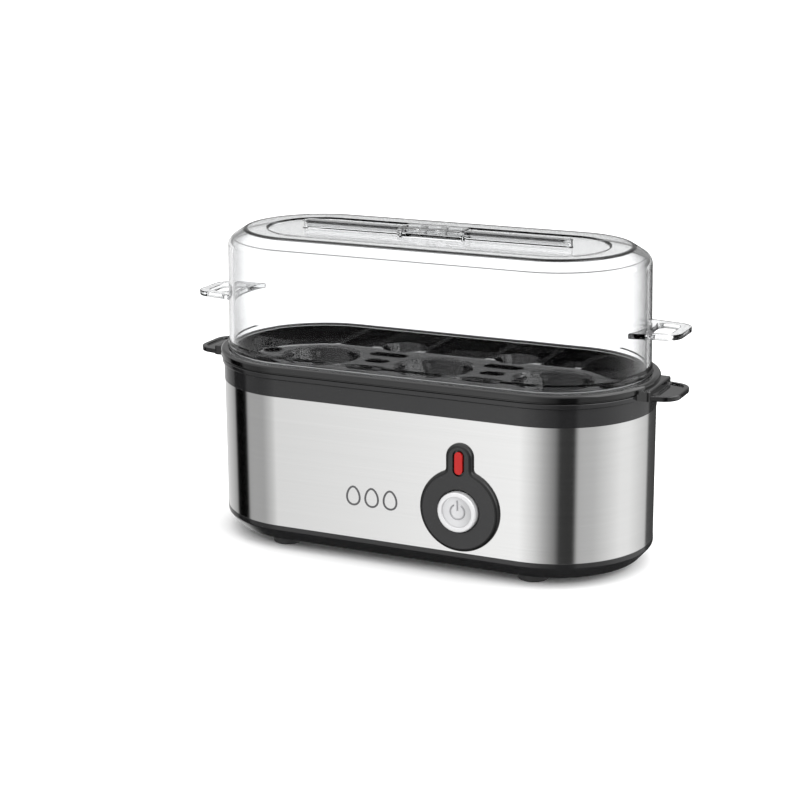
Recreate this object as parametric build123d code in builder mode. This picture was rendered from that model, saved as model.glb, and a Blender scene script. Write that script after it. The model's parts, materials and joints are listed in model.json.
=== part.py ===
"""Electric egg cooker: steel-sleeved base, lift-out egg tray and clear lid, all of one stadium plan.

Millimetres, +Z up. The origin is on the surface that the feet stand on, under the middle of the body.
The control panel faces -Y. A stadium is two round ends joined by straight sides; a radius below is the
radius of its round ends, and a section is drawn as that radius against height.
"""
import os
from math import atan2, cos, pi, sin, sqrt, tan

from build123d import *

# General fits
overrun = 1.0
fit_clearance = 0.1
slide_clearance = 0.3

# Plan of the whole body
cup_pitch = 58.4
end_margin = 1.1
body_radius = 45.3
end_x = cup_pitch + end_margin
end_spacing = 2 * end_x
front_y = -body_radius

# Feet
foot_height = 3.6
foot_radius = 7.0
foot_chamfer = 0.8
foot_peg_radius = 2.4
foot_peg_proud = 1.2
foot_edge_gap = 2.25
foot_overhang = 2.5

# Base pan
pan_floor = 2.0
pan_slope_height = 5.9
pan_slope_width = 5.15
pan_lip_height = 2.5
pan_proud = 0.1
pan_edge_fillet = 1.6
tongue_height = 6.0
tongue_wall = 1.6
pan_bottom_z = foot_height
pan_floor_z = pan_bottom_z + pan_floor
pan_slope_top_z = pan_bottom_z + pan_slope_height
pan_radius = body_radius + pan_proud
pan_bottom_radius = pan_radius - pan_slope_width

# Steel sleeve
sleeve_height = 61.7
sleeve_wall = 0.6
sleeve_bottom_z = pan_slope_top_z + pan_lip_height
sleeve_top_z = sleeve_bottom_z + sleeve_height
sleeve_inner_radius = body_radius - sleeve_wall
tongue_radius = sleeve_inner_radius - fit_clearance
tongue_inner_radius = tongue_radius - tongue_wall

# Top bezel
bezel_height = 10.8
bezel_proud = 0.2
bezel_wall = 1.6
bezel_lip_height = 2.5
bezel_lip_proud = 0.8
bezel_edge_fillet = 0.5
bezel_skirt = 7.7
bezel_ledge_drop = 1.7
bezel_ledge = 2.0
bezel_top_z = sleeve_top_z + bezel_height
bezel_radius = body_radius + bezel_proud
bezel_lip_radius = bezel_radius + bezel_lip_proud
bezel_opening_radius = bezel_radius - bezel_wall
ledge_top_z = sleeve_top_z - bezel_ledge_drop
ledge_bottom_z = ledge_top_z - bezel_ledge

# Water dish with its flange, and the seal under the flange
dish_flange_width = 8.8
dish_end_inset = 7.5
dish_sheet = 0.6
dish_depth = 15.0
dish_corner = 4.0
dish_gap = 1.0
seal_thickness = 1.0
seal_inset = 0.5
dish_outer_radius = bezel_opening_radius - dish_flange_width
dish_radius = dish_outer_radius - dish_sheet
dish_spacing = end_spacing - 2 * dish_end_inset
flange_radius = bezel_opening_radius - seal_inset
flange_z = ledge_top_z + seal_thickness
flange_top_z = flange_z + dish_sheet
dish_floor_z = flange_z - dish_depth
dish_under_z = dish_floor_z - dish_sheet

# Screw posts that clamp pan, sleeve and bezel together
post_radius = 3.5
post_y = 15.0
post_gap = 2.7
boss_radius = 4.6
boss_height = 14.4
screw_radius = 1.45
screw_pilot_gap = 0.05
screw_hole_radius = 2.0
screw_head_radius = 3.3
screw_head_height = 2.4
screw_recess_depth = 4.0
screw_bite = 10.0
pilot_depth = 12.0
drive_slot_width = 0.9
drive_slot_depth = 1.0
post_reach = dish_outer_radius + post_gap + post_radius
post_x = dish_spacing / 2 + sqrt(post_reach**2 - post_y**2)
boss_top_z = pan_floor_z + boss_height
recess_top_z = pan_bottom_z + screw_recess_depth

# Egg tray: rim and walls
rim_groove = 0.7
rim_height = 3.64
rim_proud = 0.7
rim_round = 1.75
rim_land = 1.75
rim_seat_width = 2.0
tray_wall = 1.6
tray_floor = 1.4
platform_drop = 5.3
moat_depth = 3.5
tray_outer_radius = bezel_opening_radius - slide_clearance
tray_inner_radius = tray_outer_radius - tray_wall
rim_radius = bezel_lip_radius + rim_proud
rim_bottom_z = bezel_top_z + rim_groove
rim_top_z = rim_bottom_z + rim_height
platform_z = rim_top_z - platform_drop
moat_z = platform_z - moat_depth
tray_under_z = moat_z - tray_floor

# Egg tray: cups, wells, holes, slots and bridges
cup_radius = 19.0
cup_bottom_radius = 10.5
cup_depth = 17.0
cup_wall = 1.5
cup_chamfer = 1.0
cup_drain_radius = 4.0
cup_belly = 1.6
cup_rib_count = 4
cup_rib_turn = 30.0
cup_rib_width = 2.2
cup_rib_proud = 0.9
cup_rib_drop = 2.5
platform_border = 4.0
platform_sheet = 1.6
platform_wall = 1.6
well_radius = 10.0
well_bottom_radius = 7.0
well_depth = 6.5
well_wall = 1.4
well_gap = 1.6
end_hole_radius = 4.75
end_hole_gap = 2.85
end_lobe_border = 3.3
slot_width = 7.4
slot_long = 19.0
slot_short = 12.0
slot_spacing = 12.8
bridge_width = 3.5
bridge_inner_x = 17.0
bridge_mid_x = 41.5
bridge_outer_x = 61.5
platform_radius = cup_radius + platform_border
end_hole_x = cup_pitch + cup_radius + end_hole_gap + end_hole_radius
well_outer_radius = well_radius + well_wall
well_y = tray_inner_radius - well_gap - well_outer_radius

# Egg tray: side tabs
tab_reach = 13.5
tab_root_half = 15.5
tab_tip_half = 12.0
tab_corner = 8.0
tab_thickness = 2.5
tab_drop = 0.5
tab_border = 2.4
tab_recess = 0.7
tab_root_reach = 2.6
tab_root_rise = 1.6
tab_root_round = 1.0
tab_clearance = 0.4
tab_top_z = rim_bottom_z - tab_drop
tab_bottom_z = tab_top_z - tab_thickness
tab_inner_radius = bezel_lip_radius + tab_clearance

# Lid
lid_seat_depth = 0.84
lid_lip_height = 4.2
lid_lip_proud = 0.4
lid_wall = 2.0
lid_height = 52.0
lid_draft_width = 0.8
lid_chamfer_width = 8.0
lid_chamfer_height = 5.1
lid_shoulder_round = 1.6
lid_crown_round = 1.0
lid_band_width = 10.0
lid_panel_drop = 0.8
lid_roof = 2.0
ridge_half_length = 66.5
ridge_width = 6.6
ridge_height = 2.9
vent_length = 33.0
vent_width = 14.0
vent_rise = 0.5
vent_corner = 3.0
vent_hole_length = 7.4
vent_hole_width = 5.0
vent_hole_pitch = 10.0
vent_hole_count = 3
lid_bottom_z = rim_top_z - lid_seat_depth
lid_seat_radius = rim_radius - rim_round - rim_land
lid_lip_radius = lid_seat_radius - slide_clearance
lid_wall_radius = lid_lip_radius - lid_lip_proud
lid_shoulder_radius = lid_wall_radius - lid_draft_width
lid_inner_radius = lid_wall_radius - lid_wall
lid_crown_radius = lid_shoulder_radius - lid_chamfer_width
lid_lip_z = lid_bottom_z + lid_lip_height
lid_shoulder_z = lid_bottom_z + lid_height
lid_top_z = lid_shoulder_z + lid_chamfer_height
lid_panel_radius = lid_crown_radius - lid_band_width
lid_panel_z = lid_top_z - lid_panel_drop

# Lid grips
lid_tab_height = 21.5
lid_tab_thickness = 2.4
lid_tab_reach = 18.7
lid_tab_root_half = 16.0
lid_tab_tip_half = 12.5
lid_tab_corner = 8.0
lid_tab_border = 5.0
lid_tab_web = 2.8
lid_tab_hole_corner = 3.5
lid_tab_z = lid_bottom_z + lid_tab_height

# Control panel on the front, with the button and the lamp window
panel_x = 32.5
panel_above_sleeve = 20.0
panel_radius = 19.0
panel_proud = 2.1
panel_edge_round = 1.5
panel_neck_round = 2.0
stem_width = 12.7
stem_height = 30.8
peg_radius = 1.4
peg_gap = 4.0
peg_count = 3
lens_width = 4.0
lens_height = 10.6
lens_above_button = 22.0
lens_proud = 0.2
lens_flange = 1.0
lens_flange_thickness = 0.8
button_z = sleeve_bottom_z + panel_above_sleeve
lens_z = button_z + lens_above_button
stem_round = stem_width / 2

# Power button, its spring and the switch
button_radius = 9.2
button_proud = 2.4
button_edge_round = 0.7
button_ring_width = 2.4
button_dish_step = 0.4
button_dish_depth = 0.5
button_face = 1.2
button_wall = 1.4
button_skirt_end = 1.0
button_stem_radius = 2.5
button_travel = 2.2
spring_radius = 5.5
spring_wire_radius = 0.35
spring_turns = 3
switch_width = 24.0
switch_height = 24.0
switch_depth = 18.0
switch_edge = 1.0
plunger_radius = 2.3
plunger_length = 7.6
plunger_gap = 0.3
blade_width = 6.3
blade_thickness = 0.8
blade_length = 8.0
blade_spacing = 12.0
button_front = -panel_proud - button_proud
button_dish_bottom = button_front + button_dish_step + button_dish_depth
button_back_wall = button_dish_bottom + button_face
peg_circle = button_radius + peg_gap

# Switch bracket and the lamp behind the window
bracket_standoff = 1.9
bracket_sheet = 1.5
bracket_half_width = 20.0
bracket_top_margin = 2.0
bracket_foot_depth = 12.0
bracket_hole_gap = 0.5
bracket_pad_height = 4.0
bracket_pad_depth = 9.0
bracket_screw_x = 14.0
bracket_screw_inset = 7.0
bracket_screw_radius = 1.4
bracket_screw_length = 4.0
bracket_screw_head_radius = 2.6
bracket_screw_head_height = 1.8
lamp_radius = 2.6
lamp_height = 11.0
lamp_tip_height = 1.6
lamp_ear = 1.2
lamp_ear_height = 6.0
lamp_ear_depth = 4.0
bracket_front_y = front_y + sleeve_wall + bracket_standoff
bracket_back_y = bracket_front_y + bracket_sheet
bracket_pad_z = pan_floor_z + bracket_pad_height
bracket_foot_z = bracket_pad_z + bracket_sheet
bracket_top_z = lens_z + lamp_height / 2 + bracket_top_margin
bracket_height = bracket_top_z - bracket_pad_z
bracket_screw_y = bracket_back_y + bracket_screw_inset
lamp_y = bracket_back_y + lamp_radius
switch_back_y = bracket_back_y + switch_depth
stem_end = bracket_back_y - front_y - plunger_gap

# Heating element under the dish, its clamps and studs
element_radius = 3.2
element_gap = 2.0
element_half_length = 45.0
element_bend = 12.0
element_drop = 16.0
pin_bend = 5.0
clamp_width = 8.0
clamp_sheet = 1.2
clamp_from_element_end = 23.0
clamp_overhang = 1.3
stud_radius = 2.0
stud_length = 18.2
nut_radius = 4.0
nut_height = 3.2
shield_sheet = 0.5
shield_gap = 3.2
shield_end_gap = 1.0
shield_window_radius = 11.5
element_y = -switch_back_y - element_gap - element_radius
element_z = dish_under_z - element_radius
clamp_x = element_half_length - clamp_from_element_end
clamp_z = element_z - element_radius
shield_z = clamp_z - clamp_sheet - nut_height - shield_gap
pin_end_z = element_z - element_drop

# Thermostat and thermal fuse on the underside of the dish
thermostat_radius = 8.0
thermostat_height = 10.0
thermostat_ear_length = 25.0
thermostat_ear_width = 9.0
thermostat_ear = 1.0
thermostat_blade_x = 4.0
thermostat_blade_width = 4.8
thermostat_blade_length = 6.4
fuse_radius = 2.0
fuse_length = 12.0
fuse_pin_radius = 0.5
fuse_pin_length = 4.0
fuse_from_element_end = 12.0
clip_width = 6.0
clip_sheet = 0.8
clip_ear = 3.0
fuse_x = element_half_length - fuse_from_element_end
thermostat_under_z = dish_under_z - thermostat_height
blade_end_z = thermostat_under_z - thermostat_blade_length

# Mains inlet and wiring inside the base
block_length = 30.0
block_width = 16.0
block_height = 13.0
block_edge = 1.0
block_poles = 3
block_pole_pitch = 9.0
block_screw_radius = 2.2
block_screw_depth = 5.0
block_behind_element = 3.9
bushing_above_sleeve = 14.0
bushing_flange_radius = 7.5
bushing_neck_radius = 5.5
bushing_bore_radius = 3.6
bushing_inner_length = 5.0
bushing_edge_round = 1.2
bushing_proud = panel_proud + button_proud
bushing_z = sleeve_bottom_z + bushing_above_sleeve
block_x = panel_x - blade_spacing / 2
block_y = element_y + block_behind_element
lead_radius = 1.1
lead_bend = 4.0
lead_lane_share = 0.35
lead_above_floor = 6.4
lead_drop = 12.0

# Places that several pieces share
post_places = [(sx * post_x, sy * post_y) for sx in (-1, 1) for sy in (-1, 1)]
foot_x = end_x + foot_overhang
foot_y = pan_bottom_radius - foot_radius - foot_edge_gap
cup_places = [(-cup_pitch, 0), (0, 0), (cup_pitch, 0)]
well_places = [(sx * cup_pitch / 2, sy * well_y) for sx in (-1, 1) for sy in (-1, 1)]
stud_places = [(-clamp_x, 0), (clamp_x, 0)]
bracket_screw_places = [(panel_x + side * bracket_screw_x, bracket_screw_y) for side in (-1, 1)]
front_plane = Plane(origin=(panel_x, front_y, button_z), x_dir=(1, 0, 0), z_dir=(0, -1, 0))
button_plane = Plane(origin=(panel_x, front_y, button_z), x_dir=(1, 0, 0), z_dir=(0, 0, 1))
button_axis = Axis((panel_x, front_y, button_z), (0, 1, 0))
inlet_plane = Plane(origin=(block_x, body_radius, bushing_z), x_dir=(1, 0, 0), z_dir=(0, 0, 1))
inlet_axis = Axis((block_x, body_radius, bushing_z), (0, 1, 0))


def stadium(radius, spacing=end_spacing, mode=Mode.ADD):
    """Draw a stadium of the given end radius on the sketch in hand."""
    SlotCenterToCenter(spacing, 2 * radius, mode=mode)


def carry_round(section, spacing=end_spacing):
    """Carry a wall section along both straight sides and round both ends of a stadium."""
    for side in (1, -1):
        centre_x = side * spacing / 2
        turned = section.rotate(Axis.Z, -90 * side).moved(Location((centre_x, 0, 0)))
        revolve(turned.faces(), axis=Axis((centre_x, 0, 0), (0, 0, 1)), revolution_arc=180)
        extrude(turned.faces(), amount=spacing, dir=(-side, 0, 0))


def corner(sketch, across, up):
    """Return the corner of a sketch that lies nearest to the given place."""
    return sketch.vertices().sort_by_distance((across, up))[0]


def draw_tabs(sketch, inner_radius, reach, root_half, tip_half, round_radius):
    """Draw both side tabs, tapered and round at the tip, cut back to a stadium of the inner radius."""
    root_x = end_x + sqrt(inner_radius**2 - root_half**2)
    tip_x = end_x + inner_radius + reach
    for side in (-1, 1):
        with BuildLine() as outline:
            Polyline(
                (side * end_x, root_half), (side * root_x, root_half), (side * tip_x, tip_half),
                (side * tip_x, -tip_half), (side * root_x, -root_half), (side * end_x, -root_half),
                close=True,
            )
        make_face(outline.edges())
    columns = sketch.vertices().group_by(Axis.X)
    fillet(columns[0] + columns[-1], round_radius)
    stadium(inner_radius, mode=Mode.SUBTRACT)


def draw_platform():
    """Draw the raised middle of the tray: straight sides that taper to a lobe round each end hole."""
    for side in (-1, 1):
        with Locations((side * cup_pitch, 0)):
            Circle(platform_radius)
        with Locations((side * end_hole_x, 0)):
            Circle(end_hole_radius + end_lobe_border)
    make_hull()


def sweep_lead(points):
    """Sweep an insulated wire of the lead's radius along a route with rounded corners."""
    with BuildLine() as route:
        FilletPolyline(*points, radius=lead_bend)
    with BuildSketch(Plane(origin=route.line @ 0, z_dir=route.line % 0)) as section:
        Circle(lead_radius)
    sweep(section.sketch, path=route.line)


os.makedirs("parts", exist_ok=True)

# Feet: a soft disc with a peg that grips its hole in the pan
foot_names = {
    "foot_front_left": (-foot_x, -foot_y), "foot_front_right": (foot_x, -foot_y),
    "foot_rear_left": (-foot_x, foot_y), "foot_rear_right": (foot_x, foot_y),
}
for foot_name, foot_place in foot_names.items():
    with BuildPart() as foot:
        with BuildSketch():
            with Locations(foot_place):
                Circle(foot_radius)
        extrude(amount=foot_height)
        chamfer(foot.edges().group_by(Axis.Z)[0], foot_chamfer)
        with BuildSketch(Plane.XY.offset(foot_height)):
            with Locations(foot_place):
                Circle(foot_peg_radius)
        extrude(amount=pan_floor + foot_peg_proud)
    foot.part.label = foot_name
    export_step(foot.part, f"parts/{foot_name}.step")

# Base pan: sloped foot edge, a lip that carries the sleeve and a tongue inside it
with BuildPart() as base_pan:
    with BuildSketch(Plane.XZ, mode=Mode.PRIVATE) as pan_section:
        with BuildLine():
            Polyline(
                (0, pan_bottom_z), (pan_bottom_radius, pan_bottom_z), (pan_radius, pan_slope_top_z),
                (pan_radius, sleeve_bottom_z), (tongue_radius, sleeve_bottom_z),
                (tongue_radius, sleeve_bottom_z + tongue_height),
                (tongue_inner_radius, sleeve_bottom_z + tongue_height),
                (tongue_inner_radius, pan_slope_top_z), (pan_bottom_radius - pan_floor, pan_floor_z),
                (0, pan_floor_z), close=True,
            )
        make_face()
        fillet(corner(pan_section, pan_radius, pan_slope_top_z), pan_edge_fillet)
        fillet(corner(pan_section, pan_bottom_radius, pan_bottom_z), pan_edge_fillet)
    carry_round(pan_section.sketch)
    with BuildSketch(Plane.XY.offset(pan_floor_z)):
        with Locations(*post_places):
            Circle(boss_radius)
    extrude(amount=boss_height)
    with BuildSketch(Plane.XY.offset(pan_floor_z)):
        with Locations(*bracket_screw_places):
            Rectangle(bracket_pad_depth, bracket_pad_depth)
    extrude(amount=bracket_pad_height)
    with BuildSketch(Plane.XY.offset(pan_bottom_z - overrun)):
        with Locations(*post_places):
            Circle(screw_hole_radius)
    extrude(amount=overrun + pan_floor + boss_height + overrun, mode=Mode.SUBTRACT)
    with BuildSketch(Plane.XY.offset(pan_bottom_z - overrun)):
        with Locations(*post_places):
            Circle(screw_head_radius + slide_clearance)
    extrude(amount=overrun + screw_recess_depth, mode=Mode.SUBTRACT)
    with BuildSketch(Plane.XY.offset(pan_bottom_z - overrun)):
        with Locations(*foot_names.values()):
            Circle(foot_peg_radius + fit_clearance)
    extrude(amount=overrun + pan_floor + overrun, mode=Mode.SUBTRACT)
    with BuildSketch(Plane.XY.offset(bracket_foot_z - bracket_screw_length)):
        with Locations(*bracket_screw_places):
            Circle(bracket_screw_radius + screw_pilot_gap)
    extrude(amount=bracket_screw_length + overrun, mode=Mode.SUBTRACT)
base_pan.part.label = "base_pan"
export_step(base_pan.part, "parts/base_pan.step")

# Steel sleeve: one sheet wall with openings for the button, the lamp, the pegs and the inlet
with BuildPart() as steel_sleeve:
    with BuildSketch(Plane.XY.offset(sleeve_bottom_z)):
        stadium(body_radius)
        stadium(sleeve_inner_radius, mode=Mode.SUBTRACT)
    extrude(amount=sleeve_height)
    with BuildSketch(front_plane.offset(overrun)):
        Circle(button_radius + slide_clearance)
        with Locations((0, lens_above_button)):
            SlotOverall(lens_height, lens_width, rotation=90)
        with PolarLocations(peg_circle, peg_count, start_angle=90):
            Circle(peg_radius + fit_clearance)
    extrude(amount=-(overrun + sleeve_wall + overrun), mode=Mode.SUBTRACT)
    with BuildSketch(Plane.XZ.offset(-sleeve_inner_radius + overrun)):
        with Locations((block_x, bushing_z)):
            Circle(bushing_neck_radius + fit_clearance)
    extrude(amount=-(overrun + sleeve_wall + overrun), mode=Mode.SUBTRACT)
steel_sleeve.part.label = "steel_sleeve"
export_step(steel_sleeve.part, "parts/steel_sleeve.step")

# Top bezel: ring with a lip, a skirt that clears the switch bracket, a ledge and four screw posts
with BuildPart() as top_bezel:
    with BuildSketch(Plane.XZ, mode=Mode.PRIVATE) as bezel_section:
        with BuildLine():
            Polyline(
                (bezel_radius, sleeve_top_z), (bezel_radius, bezel_top_z - bezel_lip_height),
                (bezel_lip_radius, bezel_top_z - bezel_lip_height), (bezel_lip_radius, bezel_top_z),
                (bezel_opening_radius, bezel_top_z), (bezel_opening_radius, ledge_bottom_z),
                (tongue_inner_radius, ledge_bottom_z), (tongue_inner_radius, sleeve_top_z - bezel_skirt),
                (tongue_radius, sleeve_top_z - bezel_skirt), (tongue_radius, sleeve_top_z), close=True,
            )
        make_face()
        fillet(corner(bezel_section, bezel_lip_radius, bezel_top_z), bezel_edge_fillet)
        fillet(corner(bezel_section, bezel_lip_radius, bezel_top_z - bezel_lip_height), bezel_edge_fillet)
    carry_round(bezel_section.sketch)
    with BuildSketch(Plane.XY.offset(ledge_bottom_z)):
        stadium(bezel_opening_radius)
        stadium(dish_outer_radius + dish_gap, dish_spacing, mode=Mode.SUBTRACT)
    extrude(amount=bezel_ledge)
    with BuildSketch(Plane.XY.offset(boss_top_z)):
        with Locations(*post_places):
            Circle(post_radius)
    extrude(amount=ledge_bottom_z - boss_top_z)
    with BuildSketch(Plane.XY.offset(boss_top_z)):
        with Locations(*post_places):
            Circle(screw_radius + screw_pilot_gap)
    extrude(amount=pilot_depth, mode=Mode.SUBTRACT)
    with BuildSketch(Plane.XY.offset(bracket_pad_z)):
        with Locations((panel_x, bracket_front_y + bracket_sheet / 2)):
            Rectangle(2 * (bracket_half_width + fit_clearance), bracket_sheet + 2 * fit_clearance)
    extrude(amount=bracket_height + fit_clearance, mode=Mode.SUBTRACT)
top_bezel.part.label = "top_bezel"
export_step(top_bezel.part, "parts/top_bezel.step")

# Base screws: pan-head screws up through the pan into the posts
with BuildPart() as base_screws:
    with BuildSketch(Plane.XY.offset(recess_top_z - screw_head_height)):
        with Locations(*post_places):
            Circle(screw_head_radius)
            Rectangle(2 * screw_head_radius, drive_slot_width, mode=Mode.SUBTRACT)
    extrude(amount=drive_slot_depth)
    with BuildSketch(Plane.XY.offset(recess_top_z - screw_head_height + drive_slot_depth)):
        with Locations(*post_places):
            Circle(screw_head_radius)
    extrude(amount=screw_head_height - drive_slot_depth)
    with BuildSketch(Plane.XY.offset(recess_top_z)):
        with Locations(*post_places):
            Circle(screw_radius)
    extrude(amount=boss_top_z + screw_bite - recess_top_z)
base_screws.part.label = "base_screws"
export_step(base_screws.part, "parts/base_screws.step")

# Heating plate: a drawn steel dish hanging from a flat flange
with BuildPart() as dish_hollow:
    with BuildSketch(Plane.XY.offset(dish_floor_z)):
        stadium(dish_radius, dish_spacing)
    extrude(amount=flange_top_z - dish_floor_z + overrun)
    fillet(dish_hollow.edges().group_by(Axis.Z)[0], dish_corner)
with BuildPart() as heating_plate:
    with BuildSketch(Plane.XY.offset(dish_under_z)):
        stadium(dish_outer_radius, dish_spacing)
    extrude(amount=flange_top_z - dish_under_z)
    fillet(heating_plate.edges().group_by(Axis.Z)[0], dish_corner + dish_sheet)
    with BuildSketch(Plane.XY.offset(flange_z)):
        stadium(flange_radius)
    extrude(amount=dish_sheet)
    add(dish_hollow.part, mode=Mode.SUBTRACT)
heating_plate.part.label = "heating_plate"
export_step(heating_plate.part, "parts/heating_plate.step")

# Plate seal: flat silicone ring between the ledge and the flange
with BuildPart() as plate_seal:
    with BuildSketch(Plane.XY.offset(ledge_top_z)):
        stadium(flange_radius)
        stadium(dish_outer_radius + dish_gap + seal_inset, dish_spacing, mode=Mode.SUBTRACT)
    extrude(amount=seal_thickness)
plate_seal.part.label = "plate_seal"
export_step(plate_seal.part, "parts/plate_seal.step")

# Heating element: a sheathed U under the dish floor with both ends turned down
with BuildPart() as heating_element:
    with BuildLine() as element_route:
        FilletPolyline(
            (-element_half_length, -element_y, pin_end_z), (-element_half_length, -element_y, element_z),
            (element_half_length, -element_y, element_z), (element_half_length, element_y, element_z),
            (-element_half_length, element_y, element_z), (-element_half_length, element_y, pin_end_z),
            radius=[pin_bend, element_bend, element_bend, pin_bend],
        )
    with BuildSketch(Plane(origin=element_route.line @ 0, z_dir=element_route.line % 0)):
        Circle(element_radius)
    sweep()
heating_element.part.label = "heating_element"
export_step(heating_element.part, "parts/heating_element.step")

# Element clamps: two cross bars under the element
with BuildPart() as element_clamps:
    with BuildSketch(Plane.XY.offset(clamp_z - clamp_sheet)):
        with Locations(*stud_places):
            SlotOverall(2 * (element_y + element_radius + clamp_overhang), clamp_width, rotation=90)
            Circle(stud_radius + fit_clearance, mode=Mode.SUBTRACT)
    extrude(amount=clamp_sheet)
element_clamps.part.label = "element_clamps"
export_step(element_clamps.part, "parts/element_clamps.step")

# Plate studs: welded to the floor of the dish
with BuildPart() as plate_studs:
    with BuildSketch(Plane.XY.offset(dish_under_z - stud_length)):
        with Locations(*stud_places):
            Circle(stud_radius)
    extrude(amount=stud_length)
plate_studs.part.label = "plate_studs"
export_step(plate_studs.part, "parts/plate_studs.step")

# Stud nuts: one under each clamp and one under the shield on each stud
with BuildPart() as stud_nuts:
    for nut_top_z in (clamp_z - clamp_sheet, shield_z):
        with BuildSketch(Plane.XY.offset(nut_top_z - nut_height)):
            with Locations(*stud_places):
                RegularPolygon(nut_radius, 6)
                Circle(stud_radius + fit_clearance, mode=Mode.SUBTRACT)
        extrude(amount=nut_height)
stud_nuts.part.label = "stud_nuts"
export_step(stud_nuts.part, "parts/stud_nuts.step")

# Heat shield: sheet plate between the element and the wiring, clear of the switch blades
with BuildPart() as heat_shield:
    with BuildSketch(Plane.XY.offset(shield_z)):
        SlotOverall(
            2 * (element_half_length - element_radius - shield_end_gap), 2 * (element_y + element_radius)
        )
        Circle(shield_window_radius, mode=Mode.SUBTRACT)
        with Locations(*stud_places):
            Circle(stud_radius + fit_clearance, mode=Mode.SUBTRACT)
    extrude(amount=shield_sheet)
    with BuildSketch(front_plane.offset(front_y - switch_back_y)):
        with Locations((-blade_spacing / 2, 0), (blade_spacing / 2, 0)):
            Rectangle(blade_thickness + 2 * shield_gap, blade_width + 2 * fit_clearance)
    extrude(amount=-(blade_length + shield_gap), mode=Mode.SUBTRACT)
heat_shield.part.label = "heat_shield"
export_step(heat_shield.part, "parts/heat_shield.step")

# Thermostat: a can with two ears against the dish floor and two blades
with BuildPart() as thermostat:
    with BuildSketch(Plane.XY.offset(thermostat_under_z)):
        Circle(thermostat_radius)
    extrude(amount=thermostat_height)
    with BuildSketch(Plane.XY.offset(dish_under_z - thermostat_ear)):
        SlotOverall(thermostat_ear_length, thermostat_ear_width, rotation=90)
    extrude(amount=thermostat_ear)
    with BuildSketch(Plane.XY.offset(blade_end_z)):
        with Locations((-thermostat_blade_x, 0), (thermostat_blade_x, 0)):
            Rectangle(blade_thickness, thermostat_blade_width)
    extrude(amount=thermostat_blade_length)
thermostat.part.label = "thermostat"
export_step(thermostat.part, "parts/thermostat.step")

# Thermal fuse: a small sealed cylinder that lies against the dish floor
fuse_plane = Plane.XZ.offset(-fuse_length / 2)
with BuildPart() as thermal_fuse:
    with BuildSketch(fuse_plane):
        with Locations((fuse_x, dish_under_z - fuse_radius)):
            Circle(fuse_radius)
    extrude(amount=fuse_length)
    with BuildSketch(fuse_plane.offset(-fuse_pin_length)):
        with Locations((fuse_x, dish_under_z - fuse_radius)):
            Circle(fuse_pin_radius)
    extrude(amount=fuse_length + 2 * fuse_pin_length)
thermal_fuse.part.label = "thermal_fuse"
export_step(thermal_fuse.part, "parts/thermal_fuse.step")

# Fuse clip: a sheet saddle round the fuse with two ears against the floor
with BuildPart() as fuse_clip:
    with BuildSketch(Plane.XZ.offset(-clip_width / 2)):
        saddle_radius = fuse_radius + fit_clearance
        with Locations((fuse_x, dish_under_z - fuse_radius)):
            Circle(saddle_radius + clip_sheet)
        with Locations((fuse_x, dish_under_z - fuse_radius / 2)):
            Rectangle(2 * (saddle_radius + clip_sheet), fuse_radius)
        with Locations((fuse_x, dish_under_z - clip_sheet / 2)):
            Rectangle(2 * (saddle_radius + clip_sheet + clip_ear), clip_sheet)
        with Locations((fuse_x, dish_under_z - fuse_radius)):
            Circle(saddle_radius, mode=Mode.SUBTRACT)
        with Locations((fuse_x, dish_under_z)):
            Rectangle(2 * saddle_radius, 2 * fuse_radius, mode=Mode.SUBTRACT)
        with Locations((fuse_x, dish_under_z + fuse_radius)):
            Rectangle(2 * (saddle_radius + clip_sheet), 2 * fuse_radius, mode=Mode.SUBTRACT)
    extrude(amount=clip_width)
fuse_clip.part.label = "fuse_clip"
export_step(fuse_clip.part, "parts/fuse_clip.step")

# Control panel: a round plate with a rounded neck above it, on three pegs
with BuildPart() as control_panel:
    with BuildSketch(front_plane) as panel_outline:
        Circle(panel_radius)
        with Locations((0, (stem_height - stem_round) / 2)):
            Rectangle(stem_width, stem_height - stem_round)
        with Locations((0, stem_height - stem_round)):
            Circle(stem_round)
        neck_y = sqrt(panel_radius**2 - stem_round**2)
        for neck_side in (-1, 1):
            fillet(corner(panel_outline, neck_side * stem_round, neck_y), panel_neck_round)
    extrude(amount=panel_proud)
    fillet(control_panel.faces().sort_by(Axis.Y)[0].edges(), panel_edge_round)
    with BuildSketch(front_plane.offset(-overrun)):
        Circle(button_radius + slide_clearance)
        with Locations((0, lens_above_button)):
            SlotOverall(lens_height, lens_width, rotation=90)
    extrude(amount=panel_proud + 2 * overrun, mode=Mode.SUBTRACT)
    with BuildSketch(front_plane):
        with Locations((0, lens_above_button)):
            SlotOverall(lens_height + 2 * lens_flange, lens_width + 2 * lens_flange, rotation=90)
    extrude(amount=lens_flange_thickness, mode=Mode.SUBTRACT)
    with BuildSketch(front_plane):
        with PolarLocations(peg_circle, peg_count, start_angle=90):
            Circle(peg_radius)
    extrude(amount=-(bracket_back_y - front_y))
control_panel.part.label = "control_panel"
export_step(control_panel.part, "parts/control_panel.step")

# Indicator lens: a flanged red window, held in the pocket behind the panel
flange_border = lens_flange - fit_clearance
with BuildPart() as indicator_lens:
    with BuildSketch(front_plane):
        with Locations((0, lens_above_button)):
            SlotOverall(lens_height + 2 * flange_border, lens_width + 2 * flange_border, rotation=90)
    extrude(amount=lens_flange_thickness)
    with BuildSketch(front_plane):
        with Locations((0, lens_above_button)):
            SlotOverall(lens_height - 2 * fit_clearance, lens_width - 2 * fit_clearance, rotation=90)
    extrude(amount=panel_proud + lens_proud)
    fillet(indicator_lens.faces().sort_by(Axis.Y)[0].edges(), lens_proud)
indicator_lens.part.label = "indicator_lens"
export_step(indicator_lens.part, "parts/indicator_lens.step")

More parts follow.
